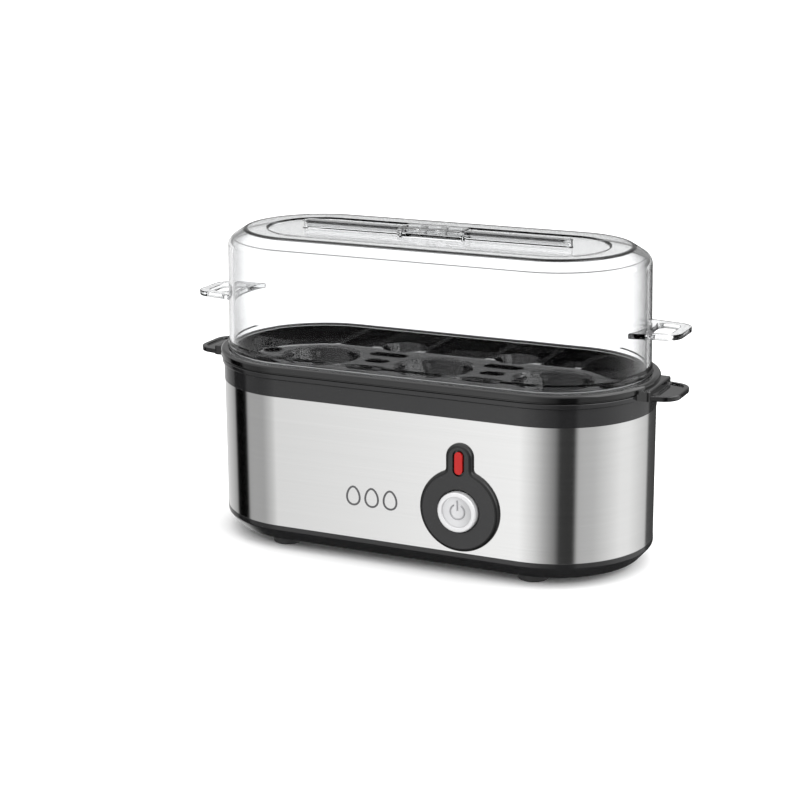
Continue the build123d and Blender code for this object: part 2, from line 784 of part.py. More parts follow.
# Power button: a dished cap with a bright ring, a skirt and a stem
with BuildPart() as power_button:
    with BuildSketch(button_plane) as button_section:
        ring_inner = button_radius - button_ring_width
        with BuildLine():
            Polyline(
                (button_stem_radius, button_back_wall), (button_stem_radius, stem_end), (0, stem_end),
                (0, button_dish_bottom),
            )
            dish_curve = ThreePointArc(
                (0, button_dish_bottom),
                (ring_inner / sqrt(2), button_dish_bottom - button_dish_depth / 2),
                (ring_inner, button_front + button_dish_step),
            )
            Polyline(
                dish_curve @ 1, (ring_inner, button_front), (button_radius, button_front),
                (button_radius, button_skirt_end), (button_radius - button_wall, button_skirt_end),
                (button_radius - button_wall, button_back_wall), (button_stem_radius, button_back_wall),
            )
        make_face()
        fillet(corner(button_section, button_radius, button_front), button_edge_round)
    revolve(axis=button_axis)
power_button.part.label = "power_button"
export_step(power_button.part, "parts/power_button.step")

# Switch plunger: a rod that the stem of the button pushes into the switch
with BuildPart() as switch_plunger:
    with BuildSketch(front_plane.offset(-stem_end)):
        Circle(plunger_radius)
    extrude(amount=-plunger_length)
switch_plunger.part.label = "switch_plunger"
export_step(switch_plunger.part, "parts/switch_plunger.step")

# Button spring: a coil between the cap and the front of the switch, in half-turn arcs
spring_start = button_back_wall + spring_wire_radius
spring_rise = bracket_back_y - front_y - spring_wire_radius - spring_start


def spring_point(half_turns):
    """Return the place on the coil's centre line after a number of half turns."""
    angle = pi * half_turns
    share = half_turns / (2 * spring_turns)
    return (
        panel_x + spring_radius * cos(angle), front_y + spring_start + spring_rise * share,
        button_z + spring_radius * sin(angle),
    )


with BuildPart() as button_spring:
    with BuildLine() as coil:
        for half in range(2 * spring_turns):
            ThreePointArc(spring_point(half), spring_point(half + 1 / 2), spring_point(half + 1))
    with BuildSketch(Plane(origin=coil.line @ 0, z_dir=coil.line % 0)):
        Circle(spring_wire_radius)
    sweep()
button_spring.part.label = "button_spring"
export_step(button_spring.part, "parts/button_spring.step")

# Power switch: a housing on the back of the bracket, bored for the plunger
with BuildPart() as power_switch:
    with BuildSketch(front_plane.offset(front_y - bracket_back_y)):
        RectangleRounded(switch_width, switch_height, switch_edge)
    extrude(amount=-switch_depth)
    with BuildSketch(front_plane.offset(front_y - bracket_back_y)):
        Circle(plunger_radius + slide_clearance)
    extrude(amount=-(plunger_length + button_travel + overrun), mode=Mode.SUBTRACT)
power_switch.part.label = "power_switch"
export_step(power_switch.part, "parts/power_switch.step")

# Switch terminals: two blades at the back of the switch
with BuildPart() as switch_terminals:
    with BuildSketch(front_plane.offset(front_y - switch_back_y)):
        with Locations((-blade_spacing / 2, 0), (blade_spacing / 2, 0)):
            Rectangle(blade_thickness, blade_width)
    extrude(amount=-blade_length)
switch_terminals.part.label = "switch_terminals"
export_step(switch_terminals.part, "parts/switch_terminals.step")

# Switch bracket: an upright plate on a foot, with ears that hold the lamp
with BuildPart() as switch_bracket:
    with BuildSketch(Plane.XZ.offset(-bracket_front_y)):
        with Locations((panel_x, bracket_pad_z + bracket_height / 2)):
            Rectangle(2 * bracket_half_width, bracket_height)
    extrude(amount=-bracket_sheet)
    with BuildSketch(Plane.XY.offset(bracket_pad_z)):
        with Locations((panel_x, bracket_front_y + bracket_foot_depth / 2)):
            Rectangle(2 * bracket_half_width, bracket_foot_depth)
    extrude(amount=bracket_sheet)
    with BuildSketch(Plane.XZ.offset(-bracket_back_y)):
        for ear_side in (-1, 1):
            with Locations((panel_x + ear_side * (lamp_radius + fit_clearance + lamp_ear / 2), lens_z)):
                Rectangle(lamp_ear, lamp_ear_height)
    extrude(amount=-lamp_ear_depth)
    with BuildSketch(front_plane.offset(front_y - bracket_front_y + overrun)):
        Circle(button_radius + bracket_hole_gap)
        with Locations((0, lens_above_button)):
            SlotOverall(lens_height, lens_width, rotation=90)
        with PolarLocations(peg_circle, peg_count, start_angle=90):
            Circle(peg_radius + fit_clearance)
    extrude(amount=-(overrun + bracket_sheet + overrun), mode=Mode.SUBTRACT)
    with BuildSketch(Plane.XY.offset(bracket_pad_z - overrun)):
        with Locations(*bracket_screw_places):
            Circle(bracket_screw_radius + fit_clearance)
    extrude(amount=bracket_sheet + 2 * overrun, mode=Mode.SUBTRACT)
switch_bracket.part.label = "switch_bracket"
export_step(switch_bracket.part, "parts/switch_bracket.step")

# Bracket screws: two pan-head screws through the bracket's foot into the pan's pads
with BuildPart() as bracket_screws:
    with BuildSketch(Plane.XY.offset(bracket_foot_z - bracket_screw_length)):
        with Locations(*bracket_screw_places):
            Circle(bracket_screw_radius)
    extrude(amount=bracket_screw_length)
    with BuildSketch(Plane.XY.offset(bracket_foot_z)):
        with Locations(*bracket_screw_places):
            Circle(bracket_screw_head_radius)
    extrude(amount=bracket_screw_head_height)
bracket_screws.part.label = "bracket_screws"
export_step(bracket_screws.part, "parts/bracket_screws.step")

# Indicator lamp: a small glass lamp with a rounded tip, upright behind the window
with BuildPart() as indicator_lamp:
    with BuildSketch(Plane.XY.offset(lens_z - lamp_height / 2)):
        with Locations((panel_x, lamp_y)):
            Circle(lamp_radius)
    extrude(amount=lamp_height)
    fillet(indicator_lamp.edges().group_by(Axis.Z)[-1], lamp_tip_height)
indicator_lamp.part.label = "indicator_lamp"
export_step(indicator_lamp.part, "parts/indicator_lamp.step")

# Terminal block: a three-pole block on the pan floor with screw wells
with BuildPart() as terminal_block:
    with BuildSketch(Plane.XY.offset(pan_floor_z)):
        with Locations((block_x, block_y)):
            RectangleRounded(block_length, block_width, block_edge)
    extrude(amount=block_height)
    with BuildSketch(Plane.XY.offset(pan_floor_z + block_height)):
        with Locations((block_x, block_y)):
            with GridLocations(block_pole_pitch, block_pole_pitch, block_poles, 1):
                Circle(block_screw_radius)
    extrude(amount=-block_screw_depth, mode=Mode.SUBTRACT)
terminal_block.part.label = "terminal_block"
export_step(terminal_block.part, "parts/terminal_block.step")

# Cord bushing: a flanged gland in the back of the sleeve
with BuildPart() as cord_bushing:
    with BuildSketch(inlet_plane) as bushing_section:
        with BuildLine():
            Polyline(
                (bushing_bore_radius, bushing_proud), (bushing_flange_radius, bushing_proud),
                (bushing_flange_radius, 0), (bushing_neck_radius, 0),
                (bushing_neck_radius, -sleeve_wall - bushing_inner_length),
                (bushing_bore_radius, -sleeve_wall - bushing_inner_length), close=True,
            )
        make_face()
        fillet(corner(bushing_section, bushing_flange_radius, bushing_proud), bushing_edge_round)
    revolve(axis=inlet_axis)
cord_bushing.part.label = "cord_bushing"
export_step(cord_bushing.part, "parts/cord_bushing.step")

# Leads inside the base, from the terminal block round to the switch, thermostat and element
low_z = pan_floor_z + lead_above_floor
level_z = pin_end_z - lead_drop
blade_end_y = switch_back_y + blade_length
blade_right_x = panel_x + blade_spacing / 2
lane_y = blade_end_y * lead_lane_share
with BuildPart() as lead_mains:
    sweep_lead([
        (block_x, block_y - block_width / 2, low_z), (block_x, lane_y, low_z), (block_x, lane_y, button_z),
        (block_x, blade_end_y, button_z),
    ])
lead_mains.part.label = "lead_mains"
export_step(lead_mains.part, "parts/lead_mains.step")
with BuildPart() as lead_switched:
    sweep_lead([
        (blade_right_x, blade_end_y, button_z), (blade_right_x, 0, button_z),
        (thermostat_blade_x, 0, level_z), (thermostat_blade_x, 0, blade_end_z),
    ])
lead_switched.part.label = "lead_switched"
export_step(lead_switched.part, "parts/lead_switched.step")
with BuildPart() as lead_element:
    sweep_lead([
        (-thermostat_blade_x, 0, blade_end_z), (-thermostat_blade_x, 0, level_z),
        (-element_half_length, -element_y, level_z), (-element_half_length, -element_y, pin_end_z),
    ])
lead_element.part.label = "lead_element"
export_step(lead_element.part, "parts/lead_element.step")
with BuildPart() as lead_return:
    sweep_lead([
        (-element_half_length, element_y, pin_end_z), (-element_half_length, element_y, low_z),
        (block_x - block_length / 2, element_y, low_z),
    ])
lead_return.part.label = "lead_return"
export_step(lead_return.part, "parts/lead_return.step")

# Tools for the egg tray: the bowl of a cup, its hollow and its ribs, all about the origin
cup_floor_z = platform_z - cup_depth
cup_mouth_radius = cup_radius - cup_chamfer
cup_axis = Axis((0, 0, 0), (0, 0, 1))
cup_foot = (cup_bottom_radius, cup_floor_z)
cup_mouth = (cup_mouth_radius, platform_z - cup_chamfer)
with BuildPart() as cup_bowl:
    with BuildSketch(Plane.XZ):
        with BuildLine():
            bowl_side = SagittaArc(
                (cup_bottom_radius + cup_wall, cup_floor_z - cup_wall),
                (cup_radius + cup_wall, platform_z - cup_chamfer), -cup_belly,
            )
            Polyline(
                bowl_side @ 1, (cup_radius + cup_wall, platform_z), (0, platform_z),
                (0, cup_floor_z - cup_wall), bowl_side @ 0,
            )
        make_face()
    revolve(axis=cup_axis)
with BuildPart() as cup_hollow:
    with BuildSketch(Plane.XZ):
        with BuildLine():
            hollow_side = SagittaArc(cup_foot, cup_mouth, -cup_belly)
            Polyline(
                hollow_side @ 1, (cup_radius, platform_z), (cup_radius, platform_z + overrun),
                (0, platform_z + overrun), (0, cup_floor_z - cup_wall - overrun),
                (cup_drain_radius, cup_floor_z - cup_wall - overrun), (cup_drain_radius, cup_floor_z),
                hollow_side @ 0,
            )
        make_face()
    revolve(axis=cup_axis)
with BuildPart() as cup_ribs:
    with BuildSketch(Plane.XZ):
        with BuildLine():
            rib_back = SagittaArc(
                (cup_bottom_radius + cup_wall / 2, cup_floor_z - cup_wall / 2),
                (cup_mouth_radius + cup_wall / 2, platform_z - cup_rib_drop), -cup_belly,
            )
            rib_front = SagittaArc(
                (cup_bottom_radius - cup_rib_proud, cup_floor_z - cup_wall / 2),
                (cup_mouth_radius - cup_rib_proud, platform_z - cup_rib_drop), -cup_belly,
            )
            Line(rib_back @ 0, rib_front @ 0)
            Line(rib_back @ 1, rib_front @ 1)
        make_face()
    revolve(axis=cup_axis, revolution_arc=360 * cup_rib_width / (2 * pi * cup_radius))
with BuildPart() as well_bowl:
    with BuildSketch(Plane.XZ):
        with BuildLine():
            Polyline(
                (0, platform_z), (well_outer_radius, platform_z),
                (well_bottom_radius + well_wall, platform_z - well_depth - well_wall),
                (0, platform_z - well_depth - well_wall), close=True,
            )
        make_face()
    revolve(axis=cup_axis)
with BuildPart() as well_hollow:
    with BuildSketch(Plane.XZ):
        with BuildLine():
            Polyline(
                (0, platform_z + overrun), (well_radius, platform_z + overrun), (well_radius, platform_z),
                (well_bottom_radius, platform_z - well_depth), (0, platform_z - well_depth), close=True,
            )
        make_face()
    revolve(axis=cup_axis)

# Egg tray: rimmed pan, raised platform with cups and wells, drain slots and two side tabs
with BuildPart() as egg_tray:
    with BuildSketch(Plane.XZ, mode=Mode.PRIVATE) as tray_section:
        with BuildLine():
            Polyline(
                (0, tray_under_z), (tray_outer_radius, tray_under_z), (tray_outer_radius, bezel_top_z),
                (tray_outer_radius + rim_seat_width, bezel_top_z),
                (tray_outer_radius + rim_seat_width, rim_bottom_z),
                (rim_radius, rim_bottom_z), (rim_radius, rim_top_z), (lid_seat_radius, rim_top_z),
                (lid_seat_radius, lid_bottom_z), (tray_inner_radius, lid_bottom_z),
                (tray_inner_radius, moat_z), (0, moat_z), close=True,
            )
        make_face()
        fillet(corner(tray_section, rim_radius, rim_top_z), rim_round)
    carry_round(tray_section.sketch)
    with BuildSketch(Plane.XY.offset(tray_under_z)):
        draw_platform()
        for bridge_x in (bridge_inner_x, bridge_mid_x, bridge_outer_x):
            with Locations((-bridge_x, 0), (bridge_x, 0)):
                Rectangle(bridge_width, 2 * tray_outer_radius)
        stadium(tray_inner_radius + tray_wall / 2, mode=Mode.INTERSECT)
    extrude(amount=platform_z - tray_under_z)
    with BuildSketch(Plane.XY.offset(tray_under_z - overrun)):
        draw_platform()
        offset(amount=-platform_wall)
    extrude(amount=overrun + platform_z - platform_sheet - tray_under_z, mode=Mode.SUBTRACT)
    with Locations(*cup_places):
        add(cup_bowl.part)
    with Locations(*well_places):
        add(well_bowl.part)
    with Locations(*cup_places):
        add(cup_hollow.part, mode=Mode.SUBTRACT)
    with Locations(*well_places):
        add(well_hollow.part, mode=Mode.SUBTRACT)
    for cup_place in cup_places:
        with Locations(cup_place):
            with PolarLocations(0, cup_rib_count, start_angle=cup_rib_turn):
                add(cup_ribs.part)
    with BuildSketch(Plane.XY.offset(tray_under_z - overrun)):
        for slot_side in (-1, 1):
            with Locations((slot_side * cup_pitch / 2, 0)):
                SlotOverall(slot_short, slot_width)
                with Locations((0, -slot_spacing), (0, slot_spacing)):
                    SlotOverall(slot_long, slot_width)
            with Locations((slot_side * end_hole_x, 0)):
                Circle(end_hole_radius)
    extrude(amount=overrun + platform_z - tray_under_z + overrun, mode=Mode.SUBTRACT)
    with BuildSketch(Plane.XY.offset(tab_bottom_z)) as tab_plates:
        draw_tabs(tab_plates, tab_inner_radius, tab_reach, tab_root_half, tab_tip_half, tab_corner)
    extrude(amount=tab_thickness)
    with BuildSketch(Plane.XY.offset(tab_top_z - tab_recess)) as tab_recesses:
        draw_tabs(tab_recesses, tab_inner_radius, tab_reach, tab_root_half, tab_tip_half, tab_corner)
        offset(amount=-tab_border)
        stadium(tab_inner_radius + tab_root_reach + tab_border, mode=Mode.SUBTRACT)
    extrude(amount=tab_recess + overrun, mode=Mode.SUBTRACT)
    with BuildSketch(Plane.XY.offset(tab_bottom_z)) as tab_roots:
        draw_tabs(tab_roots, tab_inner_radius, tab_root_reach, tab_root_half, tab_root_half, tab_root_round)
    extrude(amount=rim_bottom_z + tab_root_rise - tab_bottom_z)
egg_tray.part.label = "egg_tray"
export_step(egg_tray.part, "parts/egg_tray.step")

# Lid: a clear shell with a seating lip, a sloped shoulder, a banded top, a ridge and a vent
lid_slope = atan2(lid_chamfer_height, lid_chamfer_width)
lid_inner_shoulder_z = lid_shoulder_z - lid_wall * tan((pi / 2 - lid_slope) / 2)
lid_inner_crown_radius = lid_crown_radius - lid_roof * tan(lid_slope / 2)
with BuildPart() as lid:
    with BuildSketch(Plane.XZ, mode=Mode.PRIVATE) as lid_section:
        with BuildLine():
            Polyline(
                (lid_inner_radius, lid_bottom_z), (lid_lip_radius, lid_bottom_z),
                (lid_lip_radius, lid_lip_z - lid_lip_proud), (lid_wall_radius, lid_lip_z),
                (lid_shoulder_radius, lid_shoulder_z), (lid_crown_radius, lid_top_z),
                (lid_panel_radius, lid_top_z), (lid_panel_radius - lid_panel_drop, lid_panel_z),
                (0, lid_panel_z), (0, lid_panel_z - lid_roof),
                (lid_panel_radius - lid_panel_drop, lid_panel_z - lid_roof),
                (lid_panel_radius, lid_top_z - lid_roof), (lid_inner_crown_radius, lid_top_z - lid_roof),
                (lid_shoulder_radius - lid_wall, lid_inner_shoulder_z), close=True,
            )
        make_face()
        fillet(corner(lid_section, lid_shoulder_radius, lid_shoulder_z), lid_shoulder_round)
        fillet(corner(lid_section, lid_crown_radius, lid_top_z), lid_crown_round)
    carry_round(lid_section.sketch)
    with BuildSketch(Plane.XY.offset(lid_panel_z)):
        SlotOverall(2 * ridge_half_length, ridge_width)
    extrude(amount=lid_panel_drop + ridge_height)
    with BuildSketch(Plane.XY.offset(lid_panel_z)):
        RectangleRounded(vent_length, vent_width, vent_corner)
    extrude(amount=lid_panel_drop + ridge_height + vent_rise)
    with BuildSketch(Plane.XY.offset(lid_panel_z - lid_roof - overrun)):
        with GridLocations(vent_hole_pitch, vent_hole_pitch, vent_hole_count, 1):
            SlotOverall(vent_hole_length, vent_hole_width)
    extrude(
        amount=overrun + lid_roof + lid_panel_drop + ridge_height + vent_rise + overrun, mode=Mode.SUBTRACT
    )
lid.part.label = "lid"
export_step(lid.part, "parts/lid.step")

# Lid grips: a clear loop on the wall at each end, its root shaped to the sloping wall
lid_tab_plan = (
    lid_wall_radius - lid_wall / 2, lid_tab_reach, lid_tab_root_half, lid_tab_tip_half, lid_tab_corner,
)
with BuildPart() as lid_grips:
    with BuildSketch(Plane.XY.offset(lid_tab_z)) as grip_plates:
        draw_tabs(grip_plates, *lid_tab_plan)
    extrude(amount=lid_tab_thickness)
    with BuildSketch(Plane.XY.offset(lid_tab_z - overrun)) as grip_holes:
        draw_tabs(grip_holes, *lid_tab_plan)
        offset(amount=-lid_tab_border)
        stadium(lid_wall_radius + lid_tab_web, mode=Mode.SUBTRACT)
        for hole_side in (-1, 1):
            for hole_end in (-1, 1):
                hole_x = hole_side * (end_x + lid_wall_radius)
                hole_y = hole_end * lid_tab_root_half
                fillet(corner(grip_holes, hole_x, hole_y), lid_tab_hole_corner)
    extrude(amount=lid_tab_thickness + 2 * overrun, mode=Mode.SUBTRACT)
    add(lid.part, mode=Mode.SUBTRACT)
lid_grips.part.label = "lid_grips"
export_step(lid_grips.part, "parts/lid_grips.step")
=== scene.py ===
"""Looks of the electric egg cooker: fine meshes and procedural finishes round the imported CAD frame.

Sizes are millimetres in the frame's own axes, and become metres in the meshes. A stadium is two round ends
joined by straight sides; a section is drawn as the radius of those ends against height.
"""
from __future__ import annotations

import json
import logging
import math
from collections.abc import Callable, Sequence
from dataclasses import dataclass
from enum import Enum

import bmesh
import bpy
from mathutils import Matrix, Vector
from mathutils.geometry import delaunay_2d_cdt

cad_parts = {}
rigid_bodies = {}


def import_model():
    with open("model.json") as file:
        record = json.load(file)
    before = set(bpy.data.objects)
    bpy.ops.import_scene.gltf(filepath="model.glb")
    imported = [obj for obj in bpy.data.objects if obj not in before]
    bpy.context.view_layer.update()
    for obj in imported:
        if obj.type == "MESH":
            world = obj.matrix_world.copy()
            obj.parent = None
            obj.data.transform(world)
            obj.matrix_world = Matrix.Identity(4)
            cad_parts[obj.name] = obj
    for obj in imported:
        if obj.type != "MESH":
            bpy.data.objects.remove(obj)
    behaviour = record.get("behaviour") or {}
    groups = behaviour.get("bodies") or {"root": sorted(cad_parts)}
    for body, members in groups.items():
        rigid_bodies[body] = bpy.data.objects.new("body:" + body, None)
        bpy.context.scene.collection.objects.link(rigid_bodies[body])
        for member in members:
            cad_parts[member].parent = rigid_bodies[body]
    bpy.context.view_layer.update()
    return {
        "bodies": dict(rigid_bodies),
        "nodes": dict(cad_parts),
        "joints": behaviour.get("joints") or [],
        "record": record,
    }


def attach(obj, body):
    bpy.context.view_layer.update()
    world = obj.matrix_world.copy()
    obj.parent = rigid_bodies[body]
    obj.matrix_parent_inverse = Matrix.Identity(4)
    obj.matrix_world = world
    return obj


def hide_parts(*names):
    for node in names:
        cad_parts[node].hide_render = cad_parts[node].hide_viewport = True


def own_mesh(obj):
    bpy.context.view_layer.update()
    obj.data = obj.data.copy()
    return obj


log = logging.getLogger("egg_cooker")

MM = 0.001
END_X = 59.5  # centre of a round end, from the middle
END_STEPS = 32  # steps to a quarter turn of a round end
SLOT_STEPS = 8  # steps to a quarter turn of a slot's end
ROUND_STEPS = 4  # steps round a small edge
SHARP_ANGLE = math.radians(32)  # edges that turn more stay sharp
STRAIGHT = 1e-4  # a turn in radians that counts as none
LEAST_MITRE = 0.4  # least cosine at a mitred corner
SAME = 1e-5  # points closer than this, in millimetres, are one in a cut
NEAR = 0.02  # points closer than this, in millimetres, are one in an outline
WELD = 2e-6  # points closer than this, in metres, are welded
AREA_WEIGHT = 80  # weight of a face's area in its normals

Point = tuple[float, float]
Ring = list[int]


class Body(Enum):
    """The bodies of the frame that pieces ride on."""

    BASE = "base"
    TRAY = "tray"
    LID = "lid"
    BUTTON = "button"


class Wire:
    """One output of a shader node, with arithmetic that adds Math nodes."""

    def __init__(self, graph: Graph, socket: bpy.types.NodeSocket) -> None:
        """Keep the graph and the socket."""
        self.graph = graph
        self.socket = socket

    def _math(self, operation: str, first: object, second: object) -> Wire:
        """Add one Math node.

        Args:
            operation: Name of the Math node's operation.
            first: Left value or wire.
            second: Right value or wire.

        Returns:
            The node's result.
        """
        return self.graph.node("ShaderNodeMath", {"operation": operation}, {0: first, 1: second})

    def __add__(self, other: object) -> Wire:
        """Add."""
        return self._math("ADD", self, other)

    def __radd__(self, other: object) -> Wire:
        """Add from the left."""
        return self._math("ADD", other, self)

    def __sub__(self, other: object) -> Wire:
        """Subtract."""
        return self._math("SUBTRACT", self, other)

    def __rsub__(self, other: object) -> Wire:
        """Subtract from a value."""
        return self._math("SUBTRACT", other, self)

    def __mul__(self, other: object) -> Wire:
        """Multiply."""
        return self._math("MULTIPLY", self, other)

    def __rmul__(self, other: object) -> Wire:
        """Multiply from the left."""
        return self._math("MULTIPLY", other, self)

    def __truediv__(self, other: object) -> Wire:
        """Divide."""
        return self._math("DIVIDE", self, other)

    def __abs__(self) -> Wire:
        """Drop the sign."""
        return self.largest(0.0 - self)

    def largest(self, other: object) -> Wire:
        """Take the larger of two values."""
        return self._math("MAXIMUM", self, other)

    def hypot(self, other: Wire) -> Wire:
        """Length of the long side over two short ones."""
        return self._math("POWER", self * self + other * other, 0.5)


class Graph:
    """A node tree that is written as expressions."""

    def __init__(self, tree: bpy.types.NodeTree) -> None:
        """Start from an empty tree."""
        self.tree = tree
        tree.nodes.clear()

    def node(self, kind: str, settings: dict | None = None, inputs: dict | None = None,
             output: int | str = 0) -> Wire:
        """Add a node.

        Args:
            kind: Blender's name of the node's type.
            settings: Properties that are set first; "stops" holds a ramp's places and colours.
            inputs: Values or wires by the socket's name or number.
            output: Name or number of the output that is wanted.

        Returns:
            The output as a wire.
        """
        made = self.tree.nodes.new(kind)
        for key, value in (settings or {}).items():
            if key == "stops":
                self._set_stops(made.color_ramp, value)
            else:
                setattr(made, key, value)
        for key, value in (inputs or {}).items():
            socket = made.inputs[key] if isinstance(key, int) else self._input(made, key)
            if isinstance(value, Wire):
                self.tree.links.new(value.socket, socket)
            else:
                socket.default_value = value
        outputs = [s for s in made.outputs if s.enabled]
        found = outputs[output] if isinstance(output, int) else next(s for s in outputs if s.name == output)
        return Wire(self, found)

    @staticmethod
    def _input(made: bpy.types.Node, name: str) -> bpy.types.NodeSocket:
        """Find a node's enabled input by name."""
        return next(s for s in made.inputs if s.name == name and s.enabled)

    @staticmethod
    def _set_stops(ramp: bpy.types.ColorRamp, stops: Sequence[tuple[float, float]]) -> None:
        """Give a ramp its stops.

        Args:
            ramp: Ramp of a node.
            stops: Place and grey of each stop.
        """
        while len(ramp.elements) < len(stops):
            ramp.elements.new(1.0)
        for element, (place, grey) in zip(ramp.elements, sorted(stops)):
            element.position = place
            element.color = (grey, grey, grey, 1.0)

    def noise(self, scale: Sequence[float], detail: float = 2.0, roughness: float = 0.5) -> Wire:
        """Noise in object space.

        Args:
            scale: Cycles a metre along X, Y and Z.
            detail: Octaves of the noise.
            roughness: Share of the finer octaves.

        Returns:
            The noise's value.
        """
        place = self.node("ShaderNodeTexCoord", None, None, "Object")
        place = self.node("ShaderNodeMapping", None, {"Vector": place, "Scale": tuple(scale)})
        return self.node("ShaderNodeTexNoise", None,
                         {"Vector": place, "Scale": 1.0, "Detail": detail, "Roughness": roughness})

    def outputs(self, wire: Wire) -> list[Wire]:
        """All outputs of the node that a wire comes from."""
        return [Wire(self, s) for s in wire.socket.node.outputs]

    def split(self, vector: Wire) -> list[Wire]:
        """Part a vector into X, Y and Z."""
        return self.outputs(self.node("ShaderNodeSeparateXYZ", None, {"Vector": vector}))

    def step(self, value: Wire, span: Point) -> Wire:
        """Rise smoothly from 0 to 1 over a span of values."""
        return self.node("ShaderNodeMapRange", {"interpolation_type": "SMOOTHSTEP"},
                         {"Value": value, "From Min": span[0], "From Max": span[1]})

    def blend(self, factor: Wire, low: object, high: object) -> Wire:
        """Mix two colours, plain or wired, by a wire."""
        ends = {k: v if isinstance(v, Wire) else (*v, 1.0) for k, v in (("A", low), ("B", high))}
        return self.node("ShaderNodeMix", {"data_type": "RGBA"}, {"Factor": factor, **ends})

    def bump(self, height: Wire, strength: float, depth: float) -> Wire:
        """Turn a height into a normal; depth is in metres."""
        return self.node("ShaderNodeBump", None, {"Height": height, "Strength": strength, "Distance": depth})

    def finish(self, result: Wire, target: str = "ShaderNodeOutputMaterial", socket: str = "Surface") -> None:
        """Lead the result to the tree's output node."""
        made = self.tree.nodes.new(target)
        self.tree.links.new(result.socket, made.inputs[socket])


def shaded(colour: Sequence[float], share: float) -> tuple[float, float, float]:
    """Scale a colour, for the dark and light ends of its mottling."""
    return tuple(min(1.0, c * share) for c in colour)


@dataclass(frozen=True)
class Finish:
    """A moulded, coated or drawn surface with mottled colour, uneven gloss and a fine grain."""

    name: str
    colour: tuple[float, float, float]
    roughness: float
    metallic: float = 0.0
    mottle: float = 0.12
    uneven: float = 0.06
    grain: float = 2500.0
    grain_depth: float = 0.00001
    grain_strength: float = 0.25
    coat: float = 0.0
    ior: float = 1.5
    cloud: float = 60.0

    def material(self) -> bpy.types.Material:
        """Build the finish, or give it again.

        Returns:
            The material.
        """
        made = bpy.data.materials.get(self.name)
        if made:
            return made
        made = bpy.data.materials.new(self.name)
        made.use_nodes = True
        graph = Graph(made.node_tree)
        graph.finish(self.shader(graph))
        return made

    def shader(self, graph: Graph) -> Wire:
        """Wire the finish.

        Args:
            graph: Tree of the material.

        Returns:
            The shader.
        """
        cloud = graph.noise((self.cloud,) * 3, 3.0)
        fine = graph.noise((self.grain,) * 3, 2.0)
        return graph.node("ShaderNodeBsdfPrincipled", None, {
            "Base Color": graph.blend(cloud, shaded(self.colour, 1 - self.mottle),
                                      shaded(self.colour, 1 + self.mottle)),
            "Roughness": self.roughness + (cloud - 0.5) * self.uneven + (fine - 0.5) * self.uneven,
            "Metallic": self.metallic, "IOR": self.ior, "Coat Weight": self.coat,
            "Normal": graph.bump(fine, self.grain_strength, self.grain_depth),
        })


@dataclass(frozen=True)
class BrushedSteel(Finish):
    """Sheet steel with fine lines along the body."""

    metallic: float = 1.0
    line_scale: tuple[float, float, float] = (9.0, 9.0, 3200.0)
    band_scale: tuple[float, float, float] = (3.0, 3.0, 420.0)
    line_share: float = 0.7
    stretch: float = 0.55
    stretch_turn: float = 0.25

    def shader(self, graph: Graph) -> Wire:
        """Wire the lines into colour, gloss and bump.

        Args:
            graph: Tree of the material.

        Returns:
            The shader.
        """
        lines = graph.noise(self.line_scale, 3.0, 0.6)
        bands = graph.noise(self.band_scale, 2.0)
        streak = lines * self.line_share + bands * (1 - self.line_share)
        return graph.node("ShaderNodeBsdfPrincipled", None, {
            "Base Color": graph.blend(streak, shaded(self.colour, 1 - self.mottle),
                                      shaded(self.colour, 1 + self.mottle)),
            "Roughness": self.roughness + (streak - 0.5) * self.uneven,
            "Metallic": self.metallic, "Anisotropic": self.stretch, "Anisotropic Rotation": self.stretch_turn,
            "Normal": graph.bump(lines, self.grain_strength, self.grain_depth),
        })


